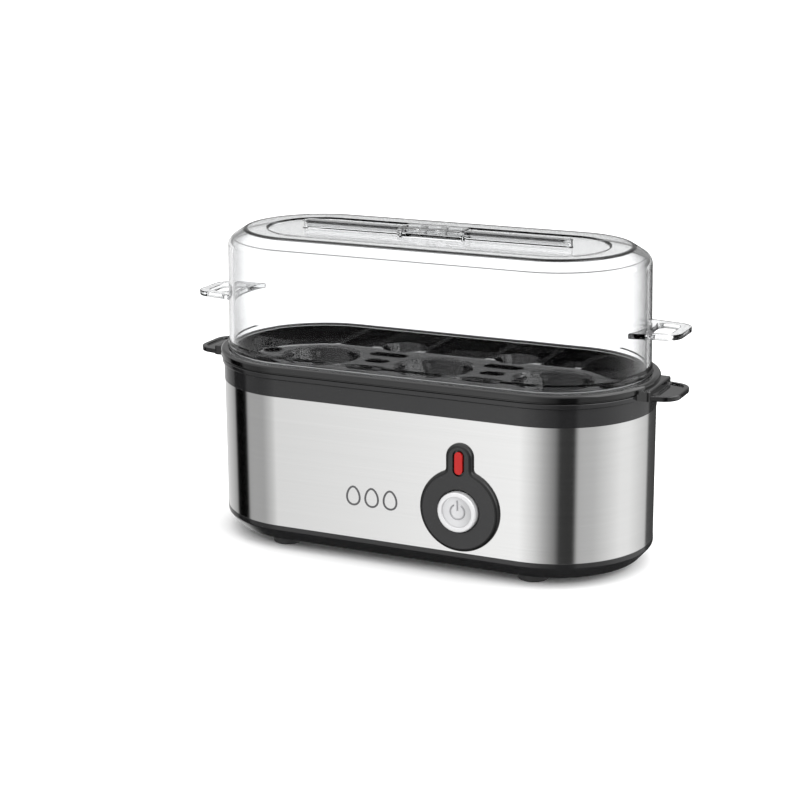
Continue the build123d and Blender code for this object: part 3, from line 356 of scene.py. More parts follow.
@dataclass(frozen=True)
class ClearShell(Finish):
    """Clear moulded plastic that bends light for the eye and lets lamps through to what it covers.

    Steep walls take painted shade towards their outline, lighter on the left and darker on the right; the
    loops and the ridge's top are tinted greyer; and two edges carry a painted dark line of shade.
    """

    # Painted shade at the lid's outline: a lighter grey on the left, a near black on the right.
    left_edge_shade: tuple[float, float, float] = (0.36, 0.36, 0.365)
    right_edge_shade: tuple[float, float, float] = (0.02, 0.02, 0.021)
    edge_shade_span: Point = (0.3, 0.86)
    shade_side_span: Point = (-0.05, 0.05)
    flow_scale: tuple[float, float, float] = (40.0, 40.0, 25.0)
    glint: float = 0.04
    # Grey tint given to the loops and the ridge's top, set by place.
    loop_crest_grey: tuple[float, float, float] = (0.7, 0.705, 0.71)
    loop_span: Point = (0.1032, 0.1045)
    crest_span: Point = (0.1469, 0.1477)
    # Colour of the painted dark lines of shade.
    line_shade: tuple[float, float, float] = (0.012, 0.012, 0.0125)
    # Stadium edges that carry a painted dark line of shade: half length, offset across, radius and height of
    # each.
    lines: tuple[tuple[float, ...], ...] = ((59.5, 0.0, 34.0, 145.1), (63.2, -3.3, 0.0, 148.0))
    line_shade_span: Point = (0.0007, 0.0018)
    air: tuple[float, float, float] = (0.97, 0.97, 0.97)

    def shader(self, graph: Graph) -> Wire:
        """Wire clear plastic with faint flow marks, painted shade at its outline and painted dark lines at
        two edges.

        Args:
            graph: Tree of the material.

        Returns:
            The shader.
        """
        flow = graph.noise(self.flow_scale, 2.0)
        x, y, z = graph.split(graph.node("ShaderNodeTexCoord", None, None, "Object"))
        rise = graph.split(graph.node("ShaderNodeNewGeometry", None, None, "Normal"))[2]
        facing = graph.node("ShaderNodeLayerWeight", None, {"Blend": 0.5}, "Facing")
        # Painted shade: steep walls darken towards their outline.
        edge = graph.step(facing, self.edge_shade_span) * (1.0 - rise * rise) + flow * self.mottle
        # The loops beyond the round ends and the ridge's top take the grey tint.
        loop_crest_share = graph.step(abs(x), self.loop_span).largest(graph.step(z, self.crest_span))
        # Painted dark lines of shade along the crown's edge and along the ridge's near top edge.
        line_shade_share = 0.0 * x
        for half, away, radius, height in self.lines:
            reach = (abs(x) - half * MM).largest(0.0).hypot(y - away * MM) - radius * MM
            line_shade_share = line_shade_share.largest(1.0 - graph.step(reach.hypot(z - height * MM), self.line_shade_span))
        # Colour of the painted outline shade, lighter on the left than on the right.
        rim = graph.blend(graph.step(x, self.shade_side_span), self.left_edge_shade, self.right_edge_shade)
        colour = graph.blend(edge, graph.blend(loop_crest_share, self.colour, self.loop_crest_grey), rim)
        clear = graph.node("ShaderNodeBsdfPrincipled", None, {
            "Base Color": graph.blend(line_shade_share, colour, self.line_shade), "Roughness": self.roughness, "IOR": self.ior,
            "Transmission Weight": 1.0, "Specular Tint": (self.glint,) * 3 + (1.0,),
            "Normal": graph.bump(flow, self.grain_strength, self.grain_depth),
        })
        open_air = graph.node("ShaderNodeBsdfTransparent", None, {"Color": (*self.air, 1.0)})
        shadow = graph.node("ShaderNodeLightPath", None, None, "Is Shadow Ray")
        soft = graph.node("ShaderNodeLightPath", None, None, "Is Diffuse Ray")
        return graph.node("ShaderNodeMixShader", None, {0: shadow.largest(soft), 1: clear, 2: open_air})


BLACK = Finish("glossy_black", (0.012, 0.012, 0.0125), 0.09, uneven=0.04, grain_depth=0.000001)
TRAY_BLACK = Finish("tray_black", (0.0025, 0.0025, 0.0026), 0.08, uneven=0.05, grain_depth=0.000001, coat=0.3)
# Darker, rougher black for the plate's border: its darker colour is painted shade along the plate's edge.
BORDER_SHADE_BLACK = Finish("border_shade_black", (0.004, 0.004, 0.0042), 0.32, uneven=0.06, grain_depth=0.000001)
STEEL = BrushedSteel("brushed_sleeve", (0.74, 0.74, 0.735), 0.13, mottle=0.07, uneven=0.1,
                     grain_depth=0.000002, grain_strength=0.3)
DISH_STEEL = BrushedSteel("dish_steel", (0.66, 0.66, 0.655), 0.26, mottle=0.08, uneven=0.16,
                          line_scale=(260, 9, 900), stretch=0.3, grain_depth=0.000004, grain_strength=0.3)
CLEAR = ClearShell("clear_lid", (0.86, 0.865, 0.868), 0.0, mottle=0.01, ior=1.49,
                   grain_depth=0.0001, grain_strength=0.02)
SILVER = Finish("silver_paint", (0.69, 0.69, 0.7), 0.22, metallic=0.75, mottle=0.05, uneven=0.05,
                grain=5000.0, grain_depth=0.000004)
# Less metallic copy of the button's silver: its extra brightness is a painted highlight on the ring.
RING_HIGHLIGHT = Finish("silver_ring_highlight", (0.66, 0.66, 0.665), 0.25, metallic=0.35, mottle=0.04, uneven=0.05)
RED = Finish("red_window", (0.38, 0.012, 0.011), 0.12, mottle=0.1, ior=1.35)
RUBBER = Finish("soft_rubber", (0.025, 0.025, 0.025), 0.62, grain=1600.0, grain_depth=0.00003)
PRINT = Finish("print_grey", (0.075, 0.075, 0.078), 0.4, mottle=0.08)
MARK = Finish("mark_grey", (0.38, 0.38, 0.39), 0.35, metallic=0.5, mottle=0.1)
HIDDEN = {
    "silicone": Finish("silicone", (0.6, 0.59, 0.55), 0.5),
    "element_sheath": Finish("element_sheath", (0.25, 0.24, 0.23), 0.45, metallic=1.0, mottle=0.3),
    "zinc": Finish("zinc_plate", (0.6, 0.62, 0.63), 0.35, metallic=1.0, mottle=0.15),
    "aluminium": Finish("mill_aluminium", (0.75, 0.76, 0.77), 0.38, metallic=1.0),
    "nylon": Finish("white_nylon", (0.72, 0.7, 0.66), 0.45),
    "dark_nylon": Finish("dark_nylon", (0.04, 0.04, 0.04), 0.45),
    "brass": Finish("tinned_brass", (0.7, 0.58, 0.3), 0.3, metallic=1.0),
    "lamp_glass": Finish("lamp_glass", (0.85, 0.6, 0.5), 0.1, coat=0.5),
    "spring_steel": Finish("spring_wire", (0.5, 0.5, 0.52), 0.3, metallic=1.0),
    "wire_brown": Finish("brown_wire", (0.16, 0.06, 0.03), 0.5),
    "wire_blue": Finish("blue_wire", (0.03, 0.1, 0.4), 0.5),
    "wire_white": Finish("white_wire", (0.75, 0.75, 0.72), 0.5),
}


def turned(angle: float) -> Point:
    """Unit direction at an angle in radians."""
    return (math.cos(angle), math.sin(angle))


def rounded_corner(before: Sequence[float], corner: Sequence[float], after: Sequence[float],
                   steps: int) -> list[tuple[Point, Point]]:
    """Round one corner of a polygon.

    Args:
        before: The corner before it.
        corner: x, y and radius of the corner; a radius of zero keeps it sharp.
        after: The corner after it.
        steps: Steps round the corner.

    Returns:
        The points round the corner, each with the way that it moves when it is offset outwards.
    """
    x, y, radius = corner
    come = Vector((x - before[0], y - before[1])).normalized()
    leave = Vector((after[0] - x, after[1] - y)).normalized()
    turn = math.atan2(come.cross(leave), come.dot(leave))
    out = math.atan2(-come.x, come.y)
    if radius <= 0 or abs(turn) < STRAIGHT:
        nx, ny = turned(out + turn / 2)
        reach = 1 / max(LEAST_MITRE, math.cos(turn / 2))
        return [((x, y), (nx * reach, ny * reach))]
    reach = radius if turn > 0 else -radius
    back = radius * math.tan(abs(turn) / 2)
    nx, ny = turned(out)
    cx, cy = x - come.x * back - reach * nx, y - come.y * back - reach * ny
    ways = [turned(out + turn * k / steps) for k in range(steps + 1)]
    return [((cx + reach * nx, cy + reach * ny), (nx, ny)) for nx, ny in ways]


@dataclass(frozen=True)
class Outline:
    """A closed outline, anticlockwise: its points, and the way that each moves when it is offset outwards."""

    points: tuple[Point, ...]
    normals: tuple[Point, ...]

    def at(self, offset: float) -> list[Point]:
        """Points of the outline at an offset."""
        return [(x + offset * nx, y + offset * ny) for (x, y), (nx, ny) in zip(self.points, self.normals)]

    @classmethod
    def arcs(cls, runs: Sequence[tuple[float, float, float, float, float]], steps: int = 12) -> Outline:
        """Join arcs by straight runs.

        Args:
            runs: Centre x, centre y, first angle, last angle and radius of each arc, in degrees. An arc
                that turns clockwise is hollow.
            steps: Steps to a quarter turn.

        Returns:
            The outline.
        """
        points, normals = [], []
        for x, y, first, last, radius in runs:
            count = max(2, round(steps * abs(last - first) / 90))
            way = 1 if last > first else -1
            for k in range(count + 1):
                dx, dy = turned(math.radians(first + (last - first) * k / count))
                points.append((x + radius * dx, y + radius * dy))
                normals.append((way * dx, way * dy))
        return cls(tuple(points), tuple(normals))

    @classmethod
    def circle(cls, x: float, y: float, radius: float = 0.0, count: int = 64) -> Outline:
        """A circle; with no radius, an offset is the radius."""
        ways = [turned(math.tau * k / count) for k in range(count)]
        return cls(tuple((x + radius * dx, y + radius * dy) for dx, dy in ways), tuple(ways))

    @classmethod
    def stadium(cls, half: float, steps: int = END_STEPS) -> Outline:
        """A stadium with end centres at plus and minus half; an offset is the radius of its ends."""
        return cls.arcs([(half, 0, -90, 90, 0), (-half, 0, 90, 270, 0)], steps)

    @classmethod
    def slot(cls, x: float, y: float, length: float, width: float, upright: bool = False) -> Outline:
        """A slot with round ends.

        Args:
            x: Middle along the first axis.
            y: Middle along the second axis.
            length: Overall length.
            width: Overall width.
            upright: Whether it runs along the second axis.

        Returns:
            The outline.
        """
        half, radius = (length - width) / 2, width / 2
        if upright:
            return cls.arcs([(x, y + half, 0, 180, radius), (x, y - half, 180, 360, radius)], SLOT_STEPS)
        return cls.arcs([(x + half, y, -90, 90, radius), (x - half, y, 90, 270, radius)], SLOT_STEPS)

    @classmethod
    def rounded(cls, corners: Sequence[tuple[float, float, float]], steps: int = 8) -> Outline:
        """A polygon with rounded corners.

        Args:
            corners: x, y and radius of each corner, anticlockwise; a radius of zero keeps it sharp.
            steps: Steps round a corner.

        Returns:
            The outline.
        """
        trios = zip([corners[-1], *corners[:-1]], corners, [*corners[1:], corners[0]])
        points, normals = zip(*(pair for trio in trios for pair in rounded_corner(*trio, steps)))
        return cls(points, normals)


def signed_area(points: Sequence[Point]) -> float:
    """Area of a polygon, positive when it runs anticlockwise."""
    return sum(x0 * y1 - x1 * y0 for (x0, y0), (x1, y1) in zip(points, [*points[1:], points[0]])) / 2


def triangles(loops: Sequence[Sequence[Point]], keep: Callable[[set[int]], bool]) -> tuple[list, list, list]:
    """Cut the plane by closed loops into triangles.

    Args:
        loops: Closed loops of points.
        keep: Test on the numbers of the loops that hold a triangle.

    Returns:
        The points, the kept triangles, and for each point the numbers of the given points at that place.
    """
    places, faces = [], []
    for loop in loops:
        numbers = list(range(len(places), len(places) + len(loop)))
        places += [Vector(p) for p in loop]
        faces.append(numbers if signed_area(loop) > 0 else numbers[::-1])
    points, _, made, origins, _, owners = delaunay_2d_cdt(places, [], faces, 0, SAME)
    kept = []
    for corners, owner in zip(made, owners):
        if keep(set(owner)):
            flat = [tuple(points[i]) for i in corners]
            kept.append(list(corners) if signed_area(flat) > 0 else list(corners)[::-1])
    return points, kept, origins


def regions(loops: Sequence[Sequence[Point]], keep: Callable[[set[int]], bool],
            least: float) -> list[Outline]:
    """Outlines of the regions that a test picks from overlapping loops.

    Args:
        loops: Closed loops of points.
        keep: Test on the numbers of the loops that hold a place.
        least: Smallest area that counts, in square millimetres.

    Returns:
        One outline for each region.
    """
    points, kept, _ = triangles(loops, keep)
    edges = {(a, b) for t in kept for a, b in zip(t, [*t[1:], t[0]])}
    after = {a: b for a, b in sorted(edges) if (b, a) not in edges}
    found = []
    while after:
        start = min(after)
        chain, here = [start], after.pop(start)
        while here != start and here in after:
            chain.append(here)
            here = after.pop(here)
        flat = [tuple(points[i]) for i in chain]
        flat = [p for p, q in zip(flat, [flat[-1], *flat[:-1]]) if math.dist(p, q) > NEAR]
        if len(flat) > 2 and signed_area(flat) > least:
            found.append(Outline.rounded([(x, y, 0.0) for x, y in flat]))
    return found


def filleted(corners: Sequence[tuple[float, float, float]], steps: int = ROUND_STEPS) -> list[Point]:
    """An open section with rounded corners.

    Args:
        corners: Radius, height and rounding of each corner.
        steps: Steps round a corner.

    Returns:
        The section's points.
    """
    trios = zip(corners, corners[1:], corners[2:])
    rounded = [point for trio in trios for point, _ in rounded_corner(*trio, steps)]
    return [corners[0][:2], *rounded, corners[-1][:2]]


UPRIGHT = Matrix.Identity(4)


def facing_front(x: float, y: float, z: float) -> Matrix:
    """A frame on the front: across is +X, up is +Z and height is towards -Y."""
    return Matrix(((1, 0, 0, x), (0, 0, -1, y), (0, 1, 0, z), (0, 0, 0, 1)))


def facing_back(x: float, y: float, z: float) -> Matrix:
    """A frame on the back: across is -X, up is +Z and height is towards +Y."""
    return Matrix(((-1, 0, 0, x), (0, 0, 1, y), (0, 1, 0, z), (0, 0, 0, 1)))


def join_at_points(work: bmesh.types.BMesh) -> None:
    """Split each open edge at the open points that lie along it, and weld them.

    Args:
        work: Mesh to mend.
    """
    loose = [e for e in work.edges if e.is_boundary]
    points = [v.co.copy() for e in loose for v in e.verts]
    for edge in loose:
        near, far = edge.verts
        start, span, done = near.co.copy(), far.co - near.co, 0.0
        shares = ((p - start).dot(span) / span.length_squared for p in points)
        on_edge = {round(k, 7) for k, p in zip(shares, points)
                   if WELD < k * span.length < span.length - WELD and (start + span * k - p).length < WELD}
        for share in sorted(on_edge):
            _, near = bmesh.utils.edge_split(edge, near, (share - done) / (1 - done))
            edge, done = work.edges.get((near, far)), share
    bmesh.ops.remove_doubles(work, verts=work.verts, dist=WELD)


class Skin:
    """Gathers rings of points, the bands between them and flat fills, and welds them into one mesh."""

    def __init__(self, frame: Matrix = UPRIGHT) -> None:
        """Start empty.

        Args:
            frame: Frame that the skin is drawn in.
        """
        self.frame = frame
        self.flat: list[Point] = []
        self.points: list[Vector] = []
        self.faces: list[Sequence[int]] = []

    def ring(self, places: Sequence[Point], height: float) -> Ring:
        """Add a ring of points at one height.

        Args:
            places: The points across the skin's frame.
            height: Their height in it.

        Returns:
            Numbers of the points.
        """
        first = len(self.points)
        for x, y in places:
            self.flat.append((x, y))
            self.points.append(self.frame @ Vector((x, y, height)) * MM)
        return list(range(first, len(self.points)))

    def band(self, low: Ring, high: Ring, closed: bool = True) -> None:
        """Join two rings of as many points by faces.

        Args:
            low: First ring.
            high: Second ring.
            closed: Whether the last points join the first.
        """
        pairs = list(zip(low, high))
        for (a, b), (c, d) in zip(pairs, pairs[1:] + (pairs[:1] if closed else [])):
            self.faces.append((a, c, d, b))

    def wall(self, outline: Outline, section: Sequence[Point], shut: bool = False) -> list[Ring]:
        """Carry a section round an outline.

        Args:
            outline: Closed outline.
            section: Offset and height of each step.
            shut: Whether the last step joins the first.

        Returns:
            The ring of each step.
        """
        rings = [self.ring(outline.at(offset), height) for offset, height in section]
        for low, high in zip(rings, rings[1:] + (rings[:1] if shut else [])):
            self.band(low, high)
        return rings

    def plug(self, outline: Outline, section: Sequence[Point]) -> None:
        """Carry a section round an outline and fill its two ends.

        Args:
            outline: Closed outline.
            section: Offset and height of each step.
        """
        rings = self.wall(outline, section)
        self.fill(rings[0])
        self.fill(rings[-1])

    def fill(self, outer: Ring, holes: Sequence[Ring] = ()) -> None:
        """Fill the flat space inside a ring, less its holes.

        Args:
            outer: Ring round the space.
            holes: Rings of the holes in it.
        """
        loops = [outer, *holes]
        numbers = [i for loop in loops for i in loop]
        flat = [[self.flat[i] for i in loop] for loop in loops]
        _, kept, origins = triangles(flat, lambda held: held == {0})
        for corners in kept:
            self.faces.append([numbers[origins[i][0]] for i in corners])

    def tube(self, route: Sequence[Vector], radius: float, sides: int = 10) -> None:
        """Run a round bar with shut ends along a route.

        Args:
            route: Points of its middle in the skin's frame.
            radius: Radius of the bar.
            sides: Points round the bar.
        """
        rings = []
        for k, place in enumerate(route):
            way = (route[min(k + 1, len(route) - 1)] - route[max(k - 1, 0)]).normalized()
            across = way.cross(Vector((0, 0, 1))).normalized()
            up = across.cross(way)
            first = len(self.points)
            for s in range(sides):
                c, n = turned(math.tau * s / sides)
                spot = place + (across * c + up * n) * radius
                self.flat.append((spot.x, spot.y))
                self.points.append(self.frame @ spot * MM)
            rings.append(list(range(first, len(self.points))))
        for low, high in zip(rings, rings[1:]):
            self.band(low, high)
        self.faces += [rings[0], rings[-1]]

    def mesh(self, name: str, finish: Finish) -> bpy.types.Mesh:
        """Weld the skin into a mesh that points outwards.

        Args:
            name: Name of the mesh.
            finish: Its finish.

        Returns:
            The mesh.
        """
        made = bpy.data.meshes.new(name)
        made.from_pydata(self.points, [], self.faces)
        work = bmesh.new()
        work.from_mesh(made)
        bmesh.ops.remove_doubles(work, verts=work.verts, dist=WELD)
        join_at_points(work)
        bmesh.ops.dissolve_degenerate(work, edges=work.edges, dist=WELD / 4)
        bmesh.ops.recalc_face_normals(work, faces=work.faces)
        open_edges = sum(not e.is_manifold for e in work.edges)
        work.to_mesh(made)
        work.free()
        made.shade_smooth()
        made.set_sharp_from_angle(angle=SHARP_ANGLE)
        made.materials.append(finish.material())
        if open_edges:
            log.info("%s has %d open edges", name, open_edges)
        return made


def placed(name: str, data: bpy.types.ID) -> bpy.types.Object:
    """Put a new object into the scene.

    Args:
        name: Name of the object.
        data: Its mesh, lamp or camera.

    Returns:
        The object.
    """
    made = bpy.data.objects.new(name, data)
    bpy.context.scene.collection.objects.link(made)
    return made


def show(name: str, mesh: bpy.types.Mesh, body: Body,
         replaced: Sequence[str] = ()) -> bpy.types.Object:
    """Put a finished mesh on its body.

    Args:
        name: Name of the piece.
        mesh: Mesh with its place in its points.
        body: Body that it rides on.
        replaced: CAD nodes that it stands for.

    Returns:
        The piece.
    """
    made = placed(name, mesh)
    even = made.modifiers.new("even_normals", "WEIGHTED_NORMAL")
    even.keep_sharp = True
    even.weight = AREA_WEIGHT
    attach(made, body.value)
    if replaced:
        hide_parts(*replaced)
    log.info("%s: %d faces on %s", name, len(mesh.polygons), body.value)
    return made


class CornerSet:
    """Geometry Nodes tree that sets one part at the four corners of a rectangle."""

    def __init__(self) -> None:
        """Build the tree with its named inputs."""
        self.tree = bpy.data.node_groups.new("corner_set", "GeometryNodeTree")
        face = self.tree.interface
        face.new_socket("Geometry", in_out="INPUT", socket_type="NodeSocketGeometry")
        self.sockets = {
            name: face.new_socket(name, in_out="INPUT", socket_type=kind).identifier
            for name, kind in (("Part", "NodeSocketObject"), ("Spread X", "NodeSocketFloat"),
                               ("Spread Y", "NodeSocketFloat"), ("Finish", "NodeSocketMaterial"))
        }
        face.new_socket("Geometry", in_out="OUTPUT", socket_type="NodeSocketGeometry")
        graph = Graph(self.tree)
        _, part, wide, deep, finish, _ = graph.outputs(graph.node("NodeGroupInput"))
        grid = graph.node("GeometryNodeMeshGrid", None,
                          {"Vertices X": 2, "Vertices Y": 2, "Size X": wide, "Size Y": deep})
        single = graph.node("GeometryNodeObjectInfo", None, {"Object": part, "As Instance": True}, "Geometry")
        corners = graph.node("GeometryNodeInstanceOnPoints", None, {"Points": grid, "Instance": single})
        solid = graph.node("GeometryNodeRealizeInstances", None, {"Geometry": corners})
        dressed = graph.node("GeometryNodeSetMaterial", None, {"Geometry": solid, "Material": finish})
        graph.finish(dressed, "NodeGroupOutput", "Geometry")

    def spread(self, name: str, part: bpy.types.Mesh, spread: Point, finish: Finish) -> bpy.types.Mesh:
        """Set a part at the four corners and give the plain mesh.

        Args:
            name: Name of the mesh.
            part: Mesh of one part, about the origin.
            spread: Distance between the parts along X and Y, in millimetres.
            finish: Finish of the parts.

        Returns:
            The mesh of all four.
        """
        single = placed(name + "_single", part)
        holder = placed(name + "_holder", bpy.data.meshes.new(name + "_holder"))
        repeat = holder.modifiers.new("corner_set", "NODES")
        repeat.node_group = self.tree
        repeat[self.sockets["Part"]] = single
        repeat[self.sockets["Spread X"]] = spread[0] * MM
        repeat[self.sockets["Spread Y"]] = spread[1] * MM
        repeat[self.sockets["Finish"]] = finish.material()
        graph = bpy.context.evaluated_depsgraph_get()
        made = bpy.data.meshes.new_from_object(holder.evaluated_get(graph), depsgraph=graph)
        made.name = name
        holder.modifiers.remove(repeat)
        for spare in (holder, single):
            bpy.data.objects.remove(spare)
        return made


@dataclass
class Base:
    """The standing part: feet, pan, steel sleeve, bezel, water dish and cord inlet."""

    radius: float = 45.3
    sheet: float = 0.6
    fine_round: float = 0.25
    foot_height: float = 3.6
    foot_radius: float = 7.0
    foot_round: float = 0.9
    foot_flat: float = 2.5
    foot_spread: Point = (124.0, 62.0)
    pan_floor_z: float = 5.6
    pan_radius: float = 45.4
    pan_bottom_radius: float = 40.25
    pan_slope_z: float = 9.5
    pan_round: float = 1.6
    pan_wall: float = 1.6
    pan_flat: float = 1.0
    pan_tongue: float = 2.4
    sleeve_z: Point = (12.0, 73.7)
    bezel_radius: float = 45.5
    bezel_lip_radius: float = 46.3
    bezel_lip_z: float = 82.0
    bezel_top_z: float = 84.5
    bezel_lip_rounds: tuple[float, ...] = (0.5, 0.6, 0.4)
    opening_radius: float = 43.9
    flange_radius: float = 43.4
    flange_z: float = 73.6
    dish_half: float = 52.0
    dish_radius: float = 34.5
    dish_floor_z: float = 58.0
    dish_corner: float = 4.0
    dish_lip_round: float = 1.0
    dish_lip_flat: float = 1.2
    screw_spread: Point = (180.96, 30.0)
    screw_recess_radius: float = 3.6
    screw_recess_z: float = 7.6
    boss_radius: float = 4.0
    boss_top_z: float = 20.0
    screw_head_radius: float = 3.3
    screw_head_z: float = 5.2
    screw_head_round: float = 0.8
    screw_head_flat: float = 1.0
    screw_radius: float = 1.45
    screw_top_z: float = 30.0
    cross_inset: float = 1.5
    cross_half: float = 0.4
    cross_depth: float = 1.2
    inlet: Point = (26.5, 26.0)
    inlet_bore: float = 3.6
    inlet_neck: float = 5.5
    inlet_flange: float = 7.5
    inlet_proud: float = 4.5
    inlet_depth: float = 5.6
    inlet_rounds: tuple[float, ...] = (0.5, 1.2, 0.3)

    def build(self, corners: CornerSet, panel: ControlPanel) -> None:
        """Make every piece of the standing part.

        Args:
            corners: Tree that repeats feet and screws.
            panel: Control panel, whose openings go through the sleeve.
        """
        show("steel_body", self._sleeve(panel), Body.BASE, ["steel_sleeve"])
        show("bezel_ring", self._bezel(), Body.BASE, ["top_bezel"])
        show("foot_pan", self._pan(), Body.BASE, ["base_pan"])
        show("water_dish", self._dish(), Body.BASE, ["heating_plate"])
        show("inlet_gland", self._inlet(), Body.BASE, ["cord_bushing"])
        feet = corners.spread("rubber_feet", self._foot(), self.foot_spread, RUBBER)
        show("rubber_feet", feet, Body.BASE,
             [f"foot_{end}_{side}" for end in ("front", "rear") for side in ("left", "right")])
        screws = corners.spread("pan_screws", self._screw(), self.screw_spread, HIDDEN["zinc"])
        show("pan_screws", screws, Body.BASE, ["base_screws"])

    def _sleeve(self, panel: ControlPanel) -> bpy.types.Mesh:
        """Sheet sleeve with flat sides, round ends and openings behind the panel and the inlet.

        Args:
            panel: Control panel, whose openings go through the sleeve.

        Returns:
            The mesh.
        """
        skin = Skin()
        low, high = self.sleeve_z
        stadium = Outline.stadium(END_X)
        half = len(stadium.points) // 2
        layers = []
        for radius in (self.radius, self.radius - self.sheet):
            foot, top = (skin.ring(stadium.at(radius), z) for z in (low, high))
            for end in (slice(0, half), slice(half, None)):
                skin.band(foot[end], top[end], closed=False)
            layers.append((foot, top))
        for outer, inner in zip(*layers):
            skin.band(outer, inner)
        x, z = self.inlet
        sides = (
            (facing_front(0, -self.radius, 0), panel.openings()),
            (facing_back(0, self.radius, 0), [Outline.circle(-x, z, self.inlet_neck)]),
        )
        for frame, holes in sides:
            skin.frame = frame
            cuts = []
            for depth in (0, -self.sheet):
                sheet = skin.ring([(-END_X, low), (END_X, low), (END_X, high), (-END_X, high)], depth)
                rings = [skin.ring(hole.at(0), depth) for hole in holes]
                skin.fill(sheet, rings)
                cuts.append(rings)
            for outer, inner in zip(*cuts):
                skin.band(outer, inner)
        return skin.mesh("steel_body", STEEL)

    def _bezel(self) -> bpy.types.Mesh:
        """Ring on top of the sleeve with a lip at its upper edge.

        Returns:
            The mesh.
        """
        skin = Skin()
        inner, low = self.radius - 2 * self.sheet, self.flange_z - 2 * self.sheet
        under, edge, mouth = self.bezel_lip_rounds
        skin.wall(Outline.stadium(END_X), filleted([
            (inner, self.sleeve_z[1], 0), (self.bezel_radius, self.sleeve_z[1], self.fine_round),
            (self.bezel_radius, self.bezel_lip_z, self.fine_round),
            (self.bezel_lip_radius, self.bezel_lip_z, under), (self.bezel_lip_radius, self.bezel_top_z, edge),
            (self.opening_radius, self.bezel_top_z, mouth), (self.opening_radius, low, 0), (inner, low, 0),
        ]), shut=True)
        return skin.mesh("bezel_ring", BLACK)

    def _pan(self) -> bpy.types.Mesh:
        """Base pan with a sloped foot edge, screw bosses and their recesses.

        Returns:
            The mesh.
        """
        skin = Skin()
        bottom, tongue = self.pan_bottom_radius, self.pan_radius - self.pan_tongue
        rings = skin.wall(Outline.stadium(END_X), filleted([
            (bottom - self.pan_flat, self.foot_height, 0), (bottom, self.foot_height, self.pan_round),
            (self.pan_radius, self.pan_slope_z, self.pan_round),
            (self.pan_radius, self.sleeve_z[0], self.fine_round), (tongue, self.sleeve_z[0], 0),
            (tongue, self.pan_slope_z, 0), (bottom - self.pan_wall, self.pan_floor_z, 0),
        ]))
        wide, deep = (v / 2 for v in self.screw_spread)
        recesses, bosses = [], []
        for x, y in ((-wide, -deep), (-wide, deep), (wide, -deep), (wide, deep)):
            spot = Outline.circle(x, y, count=40)
            recess = skin.wall(spot, [(self.screw_recess_radius, z)
                                      for z in (self.foot_height, self.screw_recess_z)])
            boss = skin.wall(spot, [(self.boss_radius, z) for z in (self.pan_floor_z, self.boss_top_z)])
            skin.fill(recess[1])
            skin.fill(boss[1])
            recesses.append(recess[0])
            bosses.append(boss[0])
        skin.fill(rings[0], recesses)
        skin.fill(rings[-1], bosses)
        return skin.mesh("foot_pan", BLACK)

    def _dish(self) -> bpy.types.Mesh:
        """Drawn steel dish hanging from its flange.

        Returns:
            The mesh.
        """
        skin = Skin()
        bowl = Outline.stadium(self.dish_half)
        top, under = self.flange_z, self.flange_z - self.sheet
        floor, below = self.dish_floor_z, self.dish_floor_z - self.sheet
        radius, back = self.dish_radius, self.dish_radius + self.sheet
        corner = self.dish_corner
        edge = skin.wall(Outline.stadium(END_X), [(self.flange_radius, z) for z in (under, top)])
        inside = skin.wall(bowl, filleted([
            (radius + self.dish_lip_flat, top, 0), (radius, top, self.dish_lip_round),
            (radius, floor, corner), (radius - 2 * corner, floor, 0),
        ], steps=6))
        outside = skin.wall(bowl, filleted([
            (back, under, 0), (back, below, corner + self.sheet), (back - 2 * corner, below, 0),
        ], steps=6))
        skin.fill(edge[1], [inside[0]])
        skin.fill(inside[-1])
        skin.fill(edge[0], [outside[0]])
        skin.fill(outside[-1])
        return skin.mesh("water_dish", DISH_STEEL)

    def _foot(self) -> bpy.types.Mesh:
        """One rubber foot.

        Returns:
            The mesh.
        """
        skin = Skin()
        radius, flat = self.foot_radius, self.foot_radius - self.foot_flat
        skin.plug(Outline.circle(0, 0, count=56), filleted([
            (flat, 0, 0), (radius, 0, self.foot_round), (radius, self.foot_height, 0),
            (flat, self.foot_height, 0),
        ]))
        return skin.mesh("foot", RUBBER)

    def _screw(self) -> bpy.types.Mesh:
        """One pan-head screw with a cross recess, head down.

        Returns:
            The mesh.
        """
        skin = Skin()
        radius, low, high = self.screw_head_radius, self.screw_head_z, self.screw_recess_z
        head = skin.wall(Outline.circle(0, 0, count=32), filleted([
            (radius - self.screw_head_flat, low, 0), (radius, low, self.screw_head_round), (radius, high, 0),
            (self.screw_radius, high, 0), (self.screw_radius, self.screw_top_z, 0),
        ]))
        arm, half = radius - self.cross_inset, self.cross_half
        cross = Outline.rounded([(x, y, 0.0) for x, y in (
            (half, -arm), (half, -half), (arm, -half), (arm, half), (half, half), (half, arm), (-half, arm),
            (-half, half), (-arm, half), (-arm, -half), (-half, -half), (-half, -arm))])
        recess = skin.wall(cross, [(0, low), (0, low + self.cross_depth)])
        skin.fill(head[0], [recess[0]])
        skin.fill(recess[1])
        skin.fill(head[-1])
        return skin.mesh("screw", HIDDEN["zinc"])

    def _inlet(self) -> bpy.types.Mesh:
        """Flanged rubber gland for the cord in the back of the sleeve.

        Returns:
            The mesh.
        """
        skin = Skin(facing_back(self.inlet[0], self.radius, self.inlet[1]))
        mouth, edge, foot = self.inlet_rounds
        skin.wall(Outline.circle(0, 0), filleted([
            (self.inlet_bore, -self.inlet_depth, 0), (self.inlet_bore, self.inlet_proud, mouth),
            (self.inlet_flange, self.inlet_proud, edge), (self.inlet_flange, 0, foot),
            (self.inlet_neck, 0, 0), (self.inlet_neck, -self.inlet_depth, 0),
        ]), shut=True)
        return skin.mesh("inlet_gland", RUBBER)


